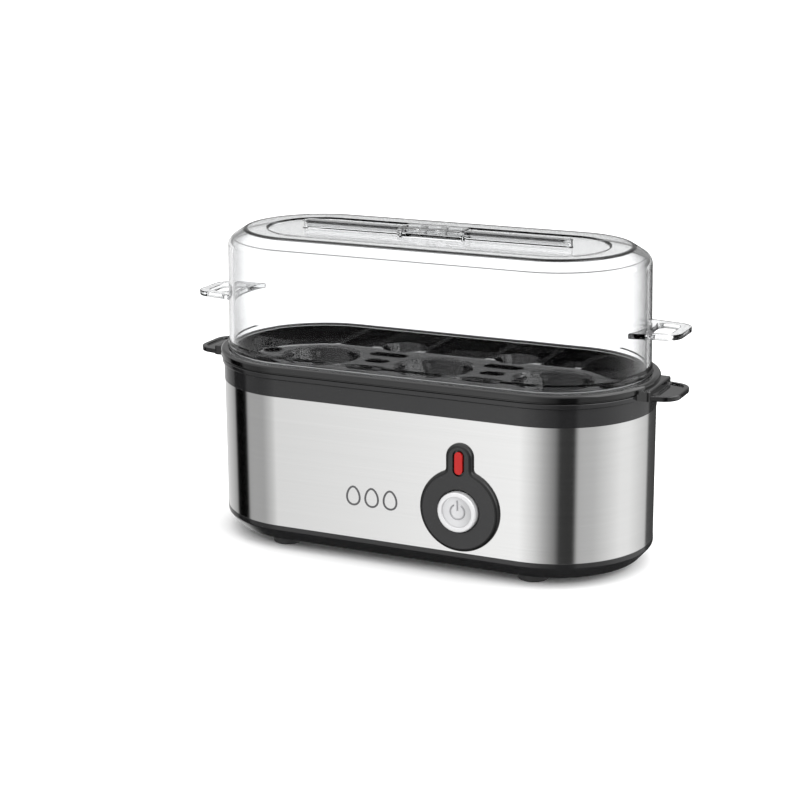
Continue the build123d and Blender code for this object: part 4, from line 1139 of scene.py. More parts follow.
@dataclass
class ControlPanel:
    """The black plate on the front with its lamp window and the power button."""

    x: float = 32.5
    y: float = -45.3
    z: float = 32.0
    radius: float = 19.0
    proud: float = 2.1
    edge: float = 1.5
    seam: float = 0.02
    border_round: float = 1.45
    face_round: float = 0.1
    face_flat: float = 0.3
    neck_round: float = 2.0
    stem_half: float = 6.35
    stem_top: float = 30.8
    hole_radius: float = 9.5
    hole_groove: float = 0.5
    window_z: float = 22.0
    window: Point = (10.6, 4.0)
    window_gap: float = 0.1
    window_groove: float = 0.7
    window_proud: float = 0.2
    window_round: float = 0.25
    window_flat: float = 0.8
    groove_floor: float = 0.6
    groove_rounds: Point = (0.1, 0.15)
    button_radius: float = 9.2
    button_front: float = 4.5
    button_ring: float = 2.2
    button_step: float = 1.1
    button_dish: float = 0.5
    button_back: float = -1.0
    button_face: float = 0.4
    button_stem: Point = (2.5, -3.4)
    button_steps: int = 8
    ring_rounds: Point = (0.7, 0.4)
    ring_foot: float = 0.5
    coil_radius: float = 5.5
    coil_wire: float = 0.35
    coil_ends: Point = (2.05, -3.65)
    coil_turns: int = 3
    coil_steps: int = 32
    coil_seat: float = -4.0
    travel: float = 2.2
    mark_radius: float = 3.4
    mark_line: float = 0.4
    mark_gap: float = 30.0
    mark_steps: int = 40
    mark_bar: tuple[float, ...] = (0.6, 1.8, 3.0, 4.2, 5.2)

    def openings(self) -> tuple[Outline, Outline]:
        """Openings in the sleeve for the button and the lamp, in the front's own frame."""
        return (Outline.circle(self.x, self.z, self.hole_radius),
                Outline.slot(self.x, self.z + self.window_z, *self.window, upright=True))

    def build(self) -> None:
        """Make the plate, the lamp window, the button and its mark."""
        show("control_plate", self._plate(), Body.BASE, ["control_panel"])
        show("control_border", self._border(), Body.BASE)
        show("lamp_window", self._window(), Body.BASE, ["indicator_lens"])
        show("button_cap", self._button(), Body.BUTTON, ["power_button"])
        show("button_ring", self._ring(), Body.BUTTON)
        show("button_mark", self._mark(), Body.BUTTON)
        coil = show("button_coil", self._coil(), Body.BASE, ["button_spring"])
        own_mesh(coil)

    def _skin(self) -> Skin:
        """Skin in the panel's own frame, centred on the button."""
        return Skin(facing_front(self.x, self.y, self.z))

    def _lollipop(self) -> Outline:
        """Outline of the plate: a disc with a round-ended stem above it.

        Returns:
            The outline.
        """
        reach = self.stem_half + self.neck_round
        neck_y = math.sqrt((self.radius + self.neck_round) ** 2 - reach**2)
        lean = math.degrees(math.atan2(neck_y, reach))
        top = self.stem_top - self.stem_half
        return Outline.arcs([
            (0, 0, 180 - lean, 360 + lean, self.radius), (reach, neck_y, 180 + lean, 180, self.neck_round),
            (0, top, 0, 180, self.stem_half), (-reach, neck_y, 360, 360 - lean, self.neck_round),
        ], 16)

    def _grooved(self, inner: float, outer: float) -> list[Point]:
        """Section of an opening in the plate with a groove at its front.

        Args:
            inner: Offset of the opening.
            outer: Offset of the groove.

        Returns:
            Offset and height of each step.
        """
        floor, edge = self.groove_rounds
        return filleted([
            (inner, 0, 0), (inner, self.groove_floor, 0), (outer, self.groove_floor, floor),
            (outer, self.proud, edge), (outer + self.face_flat, self.proud, 0)])

    def _plate(self) -> bpy.types.Mesh:
        """Flat face of the plate with grooved openings for the button and the lamp.

        Returns:
            The mesh.
        """
        skin = self._skin()
        rim = skin.wall(self._lollipop(), filleted([
            (-self.edge, 0, 0), (-self.edge, self.proud, self.face_round),
            (-self.edge - self.face_flat, self.proud, 0)]))
        button = skin.wall(Outline.circle(0, 0), self._grooved(
            self.hole_radius, self.hole_radius + self.hole_groove))
        window = skin.wall(Outline.slot(0, self.window_z, *self.window, upright=True),
                           self._grooved(self.seam, self.window_groove))
        for k in (-1, 0):
            skin.fill(rim[k], [button[k], window[k]])
        return skin.mesh("control_plate", BLACK)

    def _border(self) -> bpy.types.Mesh:
        """Rounded border round the plate, in a darker black whose darkness is painted shade along the plate's
        edge.

        Returns:
            The mesh.
        """
        skin = self._skin()
        inner = self.seam - self.edge
        skin.wall(self._lollipop(), filleted([
            (inner, 0, 0), (0, 0, 0), (0, self.proud, self.border_round), (inner, self.proud, 0)], steps=6),
            shut=True)
        return skin.mesh("control_border", BORDER_SHADE_BLACK)

    def _window(self) -> bpy.types.Mesh:
        """Red window of the lamp, a little proud of the plate.

        Returns:
            The mesh.
        """
        skin = self._skin()
        front = self.proud + self.window_proud
        skin.plug(Outline.slot(0, self.window_z, *self.window, upright=True), filleted([
            (-self.window_gap, 0, 0), (-self.window_gap, front, self.window_round),
            (-self.window_flat, front, 0)]))
        return skin.mesh("lamp_window", RED)

    def _dish_height(self, radius: float) -> float:
        """Height of the dished face at a radius."""
        inner = self.button_radius - self.button_ring
        return self.button_front - self.button_step - self.button_dish * (1 - (radius / inner) ** 2)

    def _button(self) -> bpy.types.Mesh:
        """Dished silver face of the button on its stem.

        Returns:
            The mesh.
        """
        skin = self._skin()
        inner, steps = self.button_radius - self.button_ring, self.button_steps
        (stem, stem_end), under = self.button_stem, self._dish_height(0) - self.button_face
        section = [(stem, stem_end), (stem, under), (inner, under)]
        section += [(inner * k / steps, self._dish_height(inner * k / steps)) for k in range(steps, 0, -1)]
        skin.plug(Outline.circle(0, 0, count=96), section)
        return skin.mesh("button_cap", SILVER)

    def _ring(self) -> bpy.types.Mesh:
        """Raised ring round the button's face, in a less metallic silver whose brightness is a painted
        highlight.

        Returns:
            The mesh.
        """
        skin = self._skin()
        inner, outer = self.button_radius - self.button_ring + self.seam, self.button_radius
        outside, inside = self.ring_rounds
        skin.wall(Outline.circle(0, 0, count=96), filleted([
            (inner, self.button_back, 0), (outer, self.button_back, 0), (outer, self.button_front, outside),
            (inner, self.button_front, inside), (inner, self.button_back + self.ring_foot, 0)], steps=5),
            shut=True)
        return skin.mesh("button_ring", RING_HIGHLIGHT)

    def _coil(self) -> bpy.types.Mesh:
        """Spring between the button and the bracket behind it.

        Returns:
            The mesh.
        """
        skin = self._skin()
        first, last = self.coil_ends
        steps = self.coil_steps * self.coil_turns
        route = []
        for k in range(steps + 1):
            dx, dy = turned(math.tau * self.coil_turns * k / steps)
            height = first + (last - first) * k / steps
            route.append(Vector((self.coil_radius * dx, self.coil_radius * dy, height)))
        skin.tube(route, self.coil_wire, 8)
        return skin.mesh("button_coil", HIDDEN["spring_steel"])

    def _mark(self) -> bpy.types.Mesh:
        """Plain on-off sign: a broken ring with an upright bar.

        Returns:
            The mesh.
        """
        skin = self._skin()
        radius, height = self.mark_radius, self._dish_height(self.mark_radius)
        first, last = math.radians(90 + self.mark_gap), math.radians(450 - self.mark_gap)
        ring = []
        for k in range(self.mark_steps + 1):
            dx, dy = turned(first + (last - first) * k / self.mark_steps)
            ring.append(Vector((radius * dx, radius * dy, height)))
        skin.tube(ring, self.mark_line)
        skin.tube([Vector((0, y, self._dish_height(y))) for y in self.mark_bar], self.mark_line)
        return skin.mesh("button_mark", MARK)


@dataclass
class FrontMark:
    """A plain printed sign on the front: three eggs in a row."""

    x: float = -11.0
    y: float = -45.3
    z: float = 31.8
    pitch: float = 9.2
    line: float = 0.9
    proud: float = 0.1
    sunk: float = 0.05
    egg: Point = (3.6, 4.7)
    egg_taper: float = 0.16

    def build(self) -> None:
        """Print the eggs."""
        skin = Skin(facing_front(self.x, self.y, self.z))
        for middle in (-self.pitch, 0.0, self.pitch):
            skin.wall(self._egg(middle), [(0, -self.sunk), (0, self.proud), (-self.line, self.proud),
                                          (-self.line, -self.sunk)], shut=True)
        show("front_mark", skin.mesh("front_mark", PRINT), Body.BASE)

    def _egg(self, middle: float, steps: int = 72) -> Outline:
        """Outline of an egg with its narrow end up.

        Args:
            middle: Place of its middle across the front.
            steps: Points round it.

        Returns:
            The outline.
        """
        wide, high = self.egg
        points, normals = [], []
        for k in range(steps):
            across, up = turned(math.tau * k / steps)
            points.append((middle + wide * across * (1 - self.egg_taper * up), high * up))
            lean = up + self.egg_taper * (across**2 - up**2)
            normals.append(tuple(Vector((high * across, wide * lean)).normalized()))
        return Outline(tuple(points), tuple(normals))


@dataclass
class EggTray:
    """The lift-out black tray: rim, platform with cups and wells, drain slots and two tabs."""

    rim_radius: float = 47.0
    rim_z: Point = (85.2, 88.84)
    rim_round: float = 1.75
    rim_foot_round: float = 0.3
    land: float = 1.75
    seat_z: float = 88.0
    seat_rounds: tuple[float, ...] = (0.2, 0.12, 0.2)
    seat_foot_radius: float = 45.6
    seat_foot_z: float = 84.5
    outer_radius: float = 43.6
    outer_round: float = 0.5
    outer_flat: float = 2.0
    inner_radius: float = 42.0
    wall_margin: float = 0.05
    platform_z: float = 83.54
    platform_radius: float = 23.0
    mouth_flat: float = 0.7
    mouth_round: float = 0.35
    moat_z: float = 80.04
    moat_flat: float = 0.35
    moat_round: float = 0.3
    least_moat: float = 14.0
    under_z: float = 78.64
    under_margin: float = 0.1
    pitch: float = 58.4
    cup_radius: float = 19.0
    cup_flat: float = 1.0
    cup_mouth: Point = (18.0, 82.54)
    cup_mouth_round: float = 0.4
    cup_lead: Point = (0.35, 0.8)
    cup_lead_margin: float = 0.2
    cup_floor: Point = (10.5, 66.54)
    cup_foot_step: Point = (0.05, 0.5)
    cup_foot_run: float = 0.6
    cup_belly: float = 0.8
    cup_wall: float = 1.5
    drain_radius: float = 4.0
    drain_round: float = 0.3
    drain_flats: tuple[float, ...] = (0.6, 0.4, 1.0)
    rib_angles: tuple[float, ...] = (33.3, 123.3, 213.3, 303.3)
    rib_half: float = 3.3
    rib_fade: float = 1.0
    rib_proud: float = 0.9
    rib_top_z: float = 81.04
    rib_rise: float = 0.6
    well_y: float = 29.0
    well_radii: Point = (10.0, 7.0)
    well_depth: float = 6.5
    well_wall: float = 1.4
    well_flat: float = 2.0
    well_rounds: Point = (0.8, 0.6)
    end_hole_x: float = 85.0
    end_hole_radius: float = 4.75
    end_lobe: float = 8.05
    slot_long: float = 19.0
    slot_short: float = 12.0
    slot_width: float = 7.4
    slot_spacing: float = 12.8
    bridges: tuple[float, ...] = (17.0, 41.5, 61.5)
    bridge_width: float = 3.5
    tab_z: Point = (82.2, 84.7)
    tab_inner: float = 46.7
    tab_sunk: float = 0.6
    tab_tip: float = 119.7
    tab_halves: Point = (15.5, 12.0)
    tab_corner: float = 8.0
    tab_border: float = 2.4
    tab_flats: Point = (1.0, 1.2)
    tab_rounds: Point = (0.5, 0.6)
    field_depth: float = 0.7
    field_gap: float = 1.2
    field_corner: float = 1.2
    field_trim: Point = (0.4, 0.3)
    field_offsets: tuple[float, ...] = (0.3, -0.2, -0.7)
    field_round: float = 0.2
    root_reach: float = 2.6
    root_top_z: float = 86.8
    root_corner: float = 1.6
    root_round: float = 0.7
    root_flats: Point = (0.8, 0.9)
    root_seam: float = 0.02

    def build(self) -> None:
        """Make the tray as one moulding."""
        skin = Skin()
        top, under = self._rim(skin)
        holes_top, holes_under = self._pockets(skin), []
        for x in (-self.pitch, 0.0, self.pitch):
            mouth, foot = self._cup(skin, x)
            holes_top.append(mouth)
            holes_under.append(foot)
        for x, y in self._well_places():
            mouth, foot = self._well(skin, x, y)
            holes_top.append(mouth)
            holes_under.append(foot)
        for outline in self._openings():
            rings = skin.wall(outline, filleted([
                (self.mouth_flat, self.platform_z, 0), (0, self.platform_z, self.mouth_round),
                (0, self.under_z, 0)]))
            holes_top.append(rings[0])
            holes_under.append(rings[-1])
        skin.fill(top, holes_top)
        skin.fill(under, holes_under)
        for side in (-1, 1):
            self._tab(skin, side)
        mesh = skin.mesh("tray_moulding", TRAY_BLACK)
        show("tray_moulding", mesh, Body.TRAY, ["egg_tray"])

    def _rim(self, skin: Skin) -> tuple[Ring, Ring]:
        """Carry the rim round.

        Args:
            skin: Skin of the tray.

        Returns:
            The rings that the platform and the underside fill.
        """
        low, high = self.rim_z
        seat = self.rim_radius - self.rim_round - self.land
        edge, step, lip = self.seat_rounds
        rings = skin.wall(Outline.stadium(END_X), filleted([
            (self.inner_radius, self.platform_z, 0), (self.inner_radius, self.seat_z, edge),
            (seat, self.seat_z, step), (seat, high, lip),
            (self.rim_radius, high, self.rim_round), (self.rim_radius, low, self.rim_foot_round),
            (self.seat_foot_radius, low, 0), (self.seat_foot_radius, self.seat_foot_z, 0),
            (self.outer_radius, self.seat_foot_z, 0), (self.outer_radius, self.under_z, self.outer_round),
            (self.outer_radius - self.outer_flat, self.under_z, 0),
        ], steps=6))
        return rings[0], rings[-1]

    def _platform(self) -> list[Point]:
        """Raised middle: a hull round the outer cups and the lobe of each end hole.

        Returns:
            The points of its outline.
        """
        cup, radius, hole, lobe = self.pitch, self.platform_radius, self.end_hole_x, self.end_lobe
        lean = math.degrees(math.acos((radius - lobe) / (hole - cup)))
        return Outline.arcs([
            (cup, 0, -90, -lean, radius), (hole, 0, -lean, lean, lobe), (cup, 0, lean, 90, radius),
            (-cup, 0, 90, 180 - lean, radius), (-hole, 0, 180 - lean, 180 + lean, lobe),
            (-cup, 0, 180 + lean, 270, radius),
        ]).at(0)

    def _well_places(self) -> list[Point]:
        """Middles of the four small wells."""
        return [(x, y) for x in (-self.pitch / 2, self.pitch / 2) for y in (-self.well_y, self.well_y)]

    def _pockets(self, skin: Skin) -> list[Ring]:
        """Sink the moat pockets between platform, bridges, wells and wall.

        Args:
            skin: Skin of the tray.

        Returns:
            The rings of their upper edges.
        """
        half, reach = self.bridge_width / 2, self.outer_radius
        loops = [Outline.stadium(END_X).at(self.inner_radius), self._platform()]
        for x in (b * s for b in self.bridges for s in (-1, 1)):
            loops.append([(x - half, -reach), (x + half, -reach), (x + half, reach), (x - half, reach)])
        for x, y in self._well_places():
            loops.append(Outline.circle(x, y, self.well_radii[0] + self.well_wall).at(0))
        edges = []
        for pocket in regions(loops, lambda held: held == {0}, self.least_moat):
            rings = skin.wall(self._held_at_wall(pocket), filleted([
                (self.moat_flat, self.platform_z, 0), (0, self.platform_z, self.moat_round),
                (0, self.moat_z, 0)], steps=3))
            skin.fill(rings[-1])
            edges.append(rings[0])
        return edges

    def _held_at_wall(self, pocket: Outline) -> Outline:
        """Keep the side of a pocket that lies on the rim's wall from moving with an offset.

        Args:
            pocket: Outline of the pocket.

        Returns:
            The same outline, with no way to move along the wall.
        """
        normals = []
        for (x, y), way in zip(pocket.points, pocket.normals):
            away = math.hypot(max(abs(x) - END_X, 0.0), y)
            normals.append((0.0, 0.0) if away > self.inner_radius - self.wall_margin else way)
        return Outline(pocket.points, tuple(normals))

    def _cup_side(self, grow: float, drop: float, steps: int = 12) -> list[Point]:
        """Bellied side of a cup from mouth to floor.

        Args:
            grow: Added to each radius, for the outside of the wall.
            drop: Taken from the floor's height, for the outside of the floor.
            steps: Steps down the side.

        Returns:
            Radius and height of each step.
        """
        (r0, z0), (r1, z1) = self.cup_mouth, (self.cup_floor[0], self.cup_floor[1] - drop)
        length = math.dist((r0, z0), (r1, z1))
        nx, nz = (z0 - z1) / length, (r1 - r0) / length
        made = []
        for k in range(steps + 1):
            t = k / steps
            bulge = 4 * self.cup_belly * t * (1 - t)
            made.append((r0 + (r1 - r0) * t + nx * bulge + grow, z0 + (z1 - z0) * t + nz * bulge))
        return made

    def _cup_inside(self) -> list[Point]:
        """Section of a cup's inside, from the platform to the floor.

        Returns:
            Radius and height of each step.
        """
        (mouth, mouth_z), (run, fall) = self.cup_mouth, self.cup_lead
        section = filleted([
            (self.cup_radius + self.cup_flat, self.platform_z, 0),
            (self.cup_radius, self.platform_z, self.mouth_round), (mouth, mouth_z, self.cup_mouth_round),
            (mouth - run, mouth_z - fall, 0)], steps=3)
        section += [p for p in self._cup_side(0, 0) if p[1] < section[-1][1] - self.cup_lead_margin]
        radius, floor = section.pop()
        step, rise = self.cup_foot_step
        return [*section, (radius + step, floor + rise), (radius - self.cup_foot_run, floor)]

    def _cup_outside(self) -> list[Point]:
        """Section of a cup's outside, from the underside to the floor.

        Returns:
            Radius and height of each step.
        """
        side = self._cup_side(self.cup_wall, self.cup_wall)
        below = [p for p in side if p[1] < self.under_z - self.under_margin]
        (r0, z0), (r1, z1) = side[-len(below) - 1], below[0]
        start = r0 + (r1 - r0) * ((z0 - self.under_z) / (z0 - z1))
        return [(start, self.under_z), *below, (self.drain_radius + self.drain_flats[2], below[-1][1])]

    @staticmethod
    def _turn_between(angle: float, other: float) -> float:
        """Degrees between two angles."""
        return abs((angle - other + 180) % 360 - 180)

    def _rib_share(self, angle: float, height: float) -> float:
        """How far a rib stands at an angle in degrees and a height: 0 to 1.

        Args:
            angle: Angle round the cup.
            height: Height of the place.

        Returns:
            The share of the rib's full height.
        """
        away = min(self._turn_between(angle, rib) for rib in self.rib_angles)
        side = min(1.0, max(0.0, (self.rib_half + self.rib_fade - away) / self.rib_fade))
        return side * min(1.0, max(0.0, (self.rib_top_z - height) / self.rib_rise))

    def _cup_angles(self) -> list[float]:
        """Angles round a cup in degrees, closer together at the edges of the ribs.

        Returns:
            The angles in order.
        """
        fade = self.rib_fade
        angles = {float(a) for a in range(0, 360, 4)}
        for rib in self.rib_angles:
            angles = {a for a in angles if self._turn_between(a, rib) > self.rib_half + 2 * fade}
            angles |= {rib + s * (self.rib_half + e) for s in (-1, 1) for e in (0, fade / 2, fade)}
        return sorted(angles)

    def _cup(self, skin: Skin, x: float) -> tuple[Ring, Ring]:
        """Sink one egg cup with its ribs and its drain.

        Args:
            skin: Skin of the tray.
            x: Place of the cup along the tray.

        Returns:
            The rings of its mouth and of its outside at the underside.
        """
        angles = self._cup_angles()
        rings = []
        for radius, height in self._cup_inside():
            places = []
            for angle in angles:
                reach = radius - self.rib_proud * self._rib_share(angle, height)
                dx, dy = turned(math.radians(angle))
                places.append((x + reach * dx, reach * dy))
            rings.append(skin.ring(places, height))
        for low, high in zip(rings, rings[1:]):
            skin.band(low, high)
        spot = Outline.circle(x, 0, count=72)
        outside = self._cup_outside()
        shell = skin.wall(spot, outside)
        radius, floor, under = self.drain_radius, self.cup_floor[1], outside[-1][1]
        flat_over, flat_under, _ = self.drain_flats
        drain = skin.wall(spot, filleted([
            (radius + flat_over, floor, 0), (radius, floor, self.drain_round), (radius, under, 0),
            (radius + flat_under, under, 0)], steps=3))
        skin.fill(rings[-1], [drain[0]])
        skin.fill(shell[-1], [drain[-1]])
        return rings[0], shell[0]

    def _well(self, skin: Skin, x: float, y: float) -> tuple[Ring, Ring]:
        """Sink one small well.

        Args:
            skin: Skin of the tray.
            x: Place along the tray.
            y: Place across it.

        Returns:
            The rings of its mouth and of its outside at the underside.
        """
        spot = Outline.circle(x, y, count=56)
        (wide, narrow), floor = self.well_radii, self.platform_z - self.well_depth
        flat, (round_over, round_under) = narrow - self.well_flat, self.well_rounds
        inside = skin.wall(spot, filleted([
            (wide + self.mouth_flat, self.platform_z, 0), (wide, self.platform_z, self.mouth_round),
            (narrow, floor, round_over), (flat, floor, 0)]))
        slope = (wide - narrow) / self.well_depth
        start = wide + self.well_wall - slope * (self.platform_z - self.under_z)
        low = floor - self.well_wall
        outside = skin.wall(spot, filleted([
            (start, self.under_z, 0), (narrow + self.well_wall, low, round_under), (flat, low, 0)]))
        skin.fill(inside[-1])
        skin.fill(outside[-1])
        return inside[0], outside[0]

    def _openings(self) -> list[Outline]:
        """Drain slots between the cups and the hole at each end.

        Returns:
            Their outlines.
        """
        made = []
        for side in (-1, 1):
            x = side * self.pitch / 2
            made.append(Outline.slot(x, 0, self.slot_short, self.slot_width))
            made += [Outline.slot(x, s * self.slot_spacing, self.slot_long, self.slot_width) for s in (-1, 1)]
            made.append(Outline.circle(side * self.end_hole_x, 0, self.end_hole_radius, 48))
        return made

    def _tab(self, skin: Skin, side: int) -> None:
        """Add one side tab with its sunk field and its raised root.

        Args:
            skin: Skin of the tray.
            side: 1 for the right end and -1 for the left.
        """
        low, high = self.tab_z
        root_half, tip_half = self.tab_halves
        inner, tip, border = self.tab_inner - self.tab_sunk, self.tab_tip, self.tab_border
        skin.frame = Matrix.Scale(side, 4, Vector((1, 0, 0)))
        (flat_under, flat_over), (round_under, round_over) = self.tab_flats, self.tab_rounds
        rim = skin.wall(tab_outline(inner, tip, self.tab_halves, self.tab_corner), filleted([
            (-flat_under, low, 0), (0, low, round_under), (0, high, round_over), (-flat_over, high, 0)]))
        narrower, wider = self.field_trim
        field = tab_outline(self.tab_inner + self.root_reach + self.field_gap, tip - border,
                            (root_half - border - narrower, tip_half - border + wider),
                            self.tab_corner - border, self.field_corner)
        floor, (edge, foot, flat) = high - self.field_depth, self.field_offsets
        sunk = skin.wall(field, filleted([
            (edge, high, 0), (0, high, self.field_round), (foot, floor, self.field_round),
            (flat, floor, 0)], steps=3))
        skin.fill(rim[0])
        skin.fill(rim[-1], [sunk[0]])
        skin.fill(sunk[-1])
        seam, (flat_low, flat_top) = self.root_seam, self.root_flats
        root_tip = END_X + self.tab_inner + self.root_reach
        skin.plug(tab_outline(inner, root_tip, (root_half, root_half), self.root_corner), filleted([
            (-flat_low, low + seam, 0), (-seam, low + seam, 0), (-seam, self.root_top_z, self.root_round),
            (-flat_top, self.root_top_z, 0)]))
        skin.frame = UPRIGHT


def tab_outline(inner: float, tip: float, halves: Point, corner: float, root_corner: float = 0.0,
                steps: int = 12) -> Outline:
    """Outline of a tab on the right end: a tapered plate whose root follows a circle about the end's centre.

    Args:
        inner: Radius of the root's circle.
        tip: Place of the tip along X.
        halves: Half of the width at the root and at the tip.
        corner: Rounding of the tip's corners.
        root_corner: Rounding of the root's corners.
        steps: Steps along the root.

    Returns:
        The outline, anticlockwise.
    """
    root_half, tip_half = halves
    lean = math.asin(root_half / inner)
    made = [(tip, -tip_half, corner), (tip, tip_half, corner)]
    for k in range(steps + 1):
        angle = lean - 2 * lean * k / steps
        ends = k in (0, steps)
        made.append((END_X + inner * math.cos(angle), inner * math.sin(angle), root_corner if ends else 0.0))
    return Outline.rounded(made)


@dataclass
class Lid:
    """The clear lid: a shell with a seating lip, sloped shoulder, banded top, ridge, vents and two loops."""

    bottom_z: float = 88.0
    foot_flat: float = 1.2
    foot_round: float = 1.19
    fine_round: float = 0.3
    lip_radius: float = 43.2
    lip_z: float = 92.2
    lip_slope: float = 1.0
    lip_round: float = 0.4
    wall_radius: float = 42.8
    wall: float = 2.0
    shoulder: Point = (42.0, 140.0)
    shoulder_round: float = 5.0
    crown: Point = (34.0, 145.1)
    crown_round: float = 1.2
    panel: Point = (24.0, 144.3)
    panel_flat: float = 3.0
    roof: float = 2.0
    inner_shoulder_z: float = 138.86
    inner_crown_radius: float = 33.43
    inner_crown_round: float = 1.0
    ridge: Point = (133.0, 6.6)
    ridge_top_z: float = 148.0
    ridge_wall: float = 1.5
    ridge_flat: float = 0.8
    ridge_round: float = 0.5
    hollow_flat: float = 0.9
    hollow_round: float = 0.6
    least_crest: float = 1.0
    vent: Point = (33.0, 14.0)
    vent_corner: float = 3.0
    vent_top_z: float = 148.5
    vent_offsets: tuple[float, ...] = (-1.0, -1.2, -1.3, -1.8)
    vent_rounds: Point = (0.1, 0.2)
    vent_hole: Point = (7.4, 5.0)
    vent_hole_flat: float = 0.4
    vent_hole_round: float = 0.2
    vent_pitch: float = 10.0
    tab_z: Point = (109.5, 111.9)
    tab_sunk: float = 0.75
    tab_tip: float = 120.0
    tab_halves: Point = (16.0, 12.5)
    tab_corner: float = 8.0
    tab_border: float = 5.0
    tab_web: float = 2.8
    tab_flat: float = 0.8
    tab_round: float = 0.4
    hole_corner: float = 3.5
    hole_trim: Point = (0.9, 0.7)
    hole_flat: float = 0.7

    def build(self) -> None:
        """Make the lid as one moulding."""
        skin = Skin()
        stadium = Outline.stadium(END_X)
        (band, panel_z), (crown, top_z) = self.panel, self.crown
        drop, fine = top_z - panel_z, self.fine_round
        foot = self.wall_radius - self.wall
        outside = skin.wall(stadium, filleted([
            (foot + self.foot_flat, self.bottom_z, 0), (self.lip_radius, self.bottom_z, fine),
            (self.lip_radius, self.lip_z - self.lip_slope, self.lip_round),
            (self.wall_radius, self.lip_z, self.lip_round), (*self.shoulder, self.shoulder_round),
            (crown, top_z, self.crown_round), (band, top_z, fine),
            (band - drop, panel_z, fine), (band - self.panel_flat, panel_z, 0)], steps=6))
        inside = skin.wall(stadium, filleted([
            (foot + self.foot_flat, self.bottom_z, 0), (foot, self.bottom_z, self.foot_round),
            (self.shoulder[0] - self.wall, self.inner_shoulder_z, self.shoulder_round - self.wall),
            (self.inner_crown_radius, top_z - self.roof, self.inner_crown_round),
            (band, top_z - self.roof, fine), (band - drop, panel_z - self.roof, fine),
            (band - self.panel_flat, panel_z - self.roof, 0)], steps=6))
        self._roof(skin, outside[-1], inside[-1])
        for side in (-1, 1):
            self._loop(skin, side)
        show("clear_lid", skin.mesh("clear_lid", CLEAR), Body.LID, ["lid", "lid_grips"])

    def _roof(self, skin: Skin, upper: Ring, lower: Ring) -> None:
        """Close the top with the ridge, the vent and its holes.

        Args:
            skin: Skin of the lid.
            upper: Ring that the panel's upper face fills.
            lower: Ring that its lower face fills.
        """
        length, width = (v / 2 for v in self.vent)
        corner = self.vent_corner
        vent = Outline.rounded([(length, -width, corner), (length, width, corner), (-length, width, corner),
                                (-length, -width, corner)])
        ridge = Outline.slot(0, 0, *self.ridge)
        crest = regions([ridge.at(0), vent.at(0)], bool, self.least_crest)[0]
        panel_z, top, wall, flat = self.panel[1], self.ridge_top_z, self.ridge_wall, self.ridge_flat
        under, ceiling = panel_z - self.roof, top - wall
        rise = skin.wall(crest, filleted([
            (flat, panel_z, 0), (0, panel_z, self.ridge_round), (0, top, self.ridge_round), (-flat, top, 0)],
            steps=6))
        hollow = skin.wall(crest, filleted([
            (self.hollow_flat - wall, under, 0), (-wall, under, self.hollow_round),
            (-wall, ceiling, self.ridge_round), (-flat - wall, ceiling, 0)], steps=6))
        (start, foot, edge, inner), (round_foot, round_edge) = self.vent_offsets, self.vent_rounds
        boss = skin.wall(vent, filleted([
            (start, top, 0), (foot, top, round_foot), (edge, self.vent_top_z, round_edge),
            (inner, self.vent_top_z, 0)], steps=3))
        holes_up, holes_low = [], []
        for k in (-1, 0, 1):
            rings = skin.wall(Outline.slot(k * self.vent_pitch, 0, *self.vent_hole), filleted([
                (self.vent_hole_flat, self.vent_top_z, 0), (0, self.vent_top_z, self.vent_hole_round),
                (0, ceiling, 0)]))
            holes_up.append(rings[0])
            holes_low.append(rings[-1])
        skin.fill(upper, [rise[0]])
        skin.fill(rise[-1], [boss[0]])
        skin.fill(boss[-1], holes_up)
        skin.fill(lower, [hollow[0]])
        skin.fill(hollow[-1], holes_low)

    def _loop(self, skin: Skin, side: int) -> None:
        """Add one side loop for a finger.

        Args:
            skin: Skin of the lid.
            side: 1 for the right end and -1 for the left.
        """
        low, high = self.tab_z
        root_half, tip_half = self.tab_halves
        tip, border, (narrower, wider) = self.tab_tip, self.tab_border, self.hole_trim
        skin.frame = Matrix.Scale(side, 4, Vector((1, 0, 0)))
        plate = tab_outline(self.wall_radius - self.tab_sunk, tip, self.tab_halves, self.tab_corner)
        opening = tab_outline(self.wall_radius + self.tab_web, tip - border,
                              (root_half - border - narrower, tip_half - border + wider),
                              self.tab_corner - border, self.hole_corner)
        rim, hole = (
            skin.wall(outline, filleted([
                (flat, low, 0), (0, low, self.tab_round), (0, high, self.tab_round), (flat, high, 0)]))
            for outline, flat in ((plate, -self.tab_flat), (opening, self.hole_flat))
        )
        skin.fill(rim[0], [hole[0]])
        skin.fill(rim[-1], [hole[-1]])
        skin.frame = UPRIGHT


def heading(turn: float, rise: float) -> Vector:
    """Direction at a turn from the front and a rise above the floor, both in degrees."""
    turn, rise = math.radians(turn), math.radians(rise)
    return Vector((math.sin(turn) * math.cos(rise), -math.cos(turn) * math.cos(rise), math.sin(rise)))


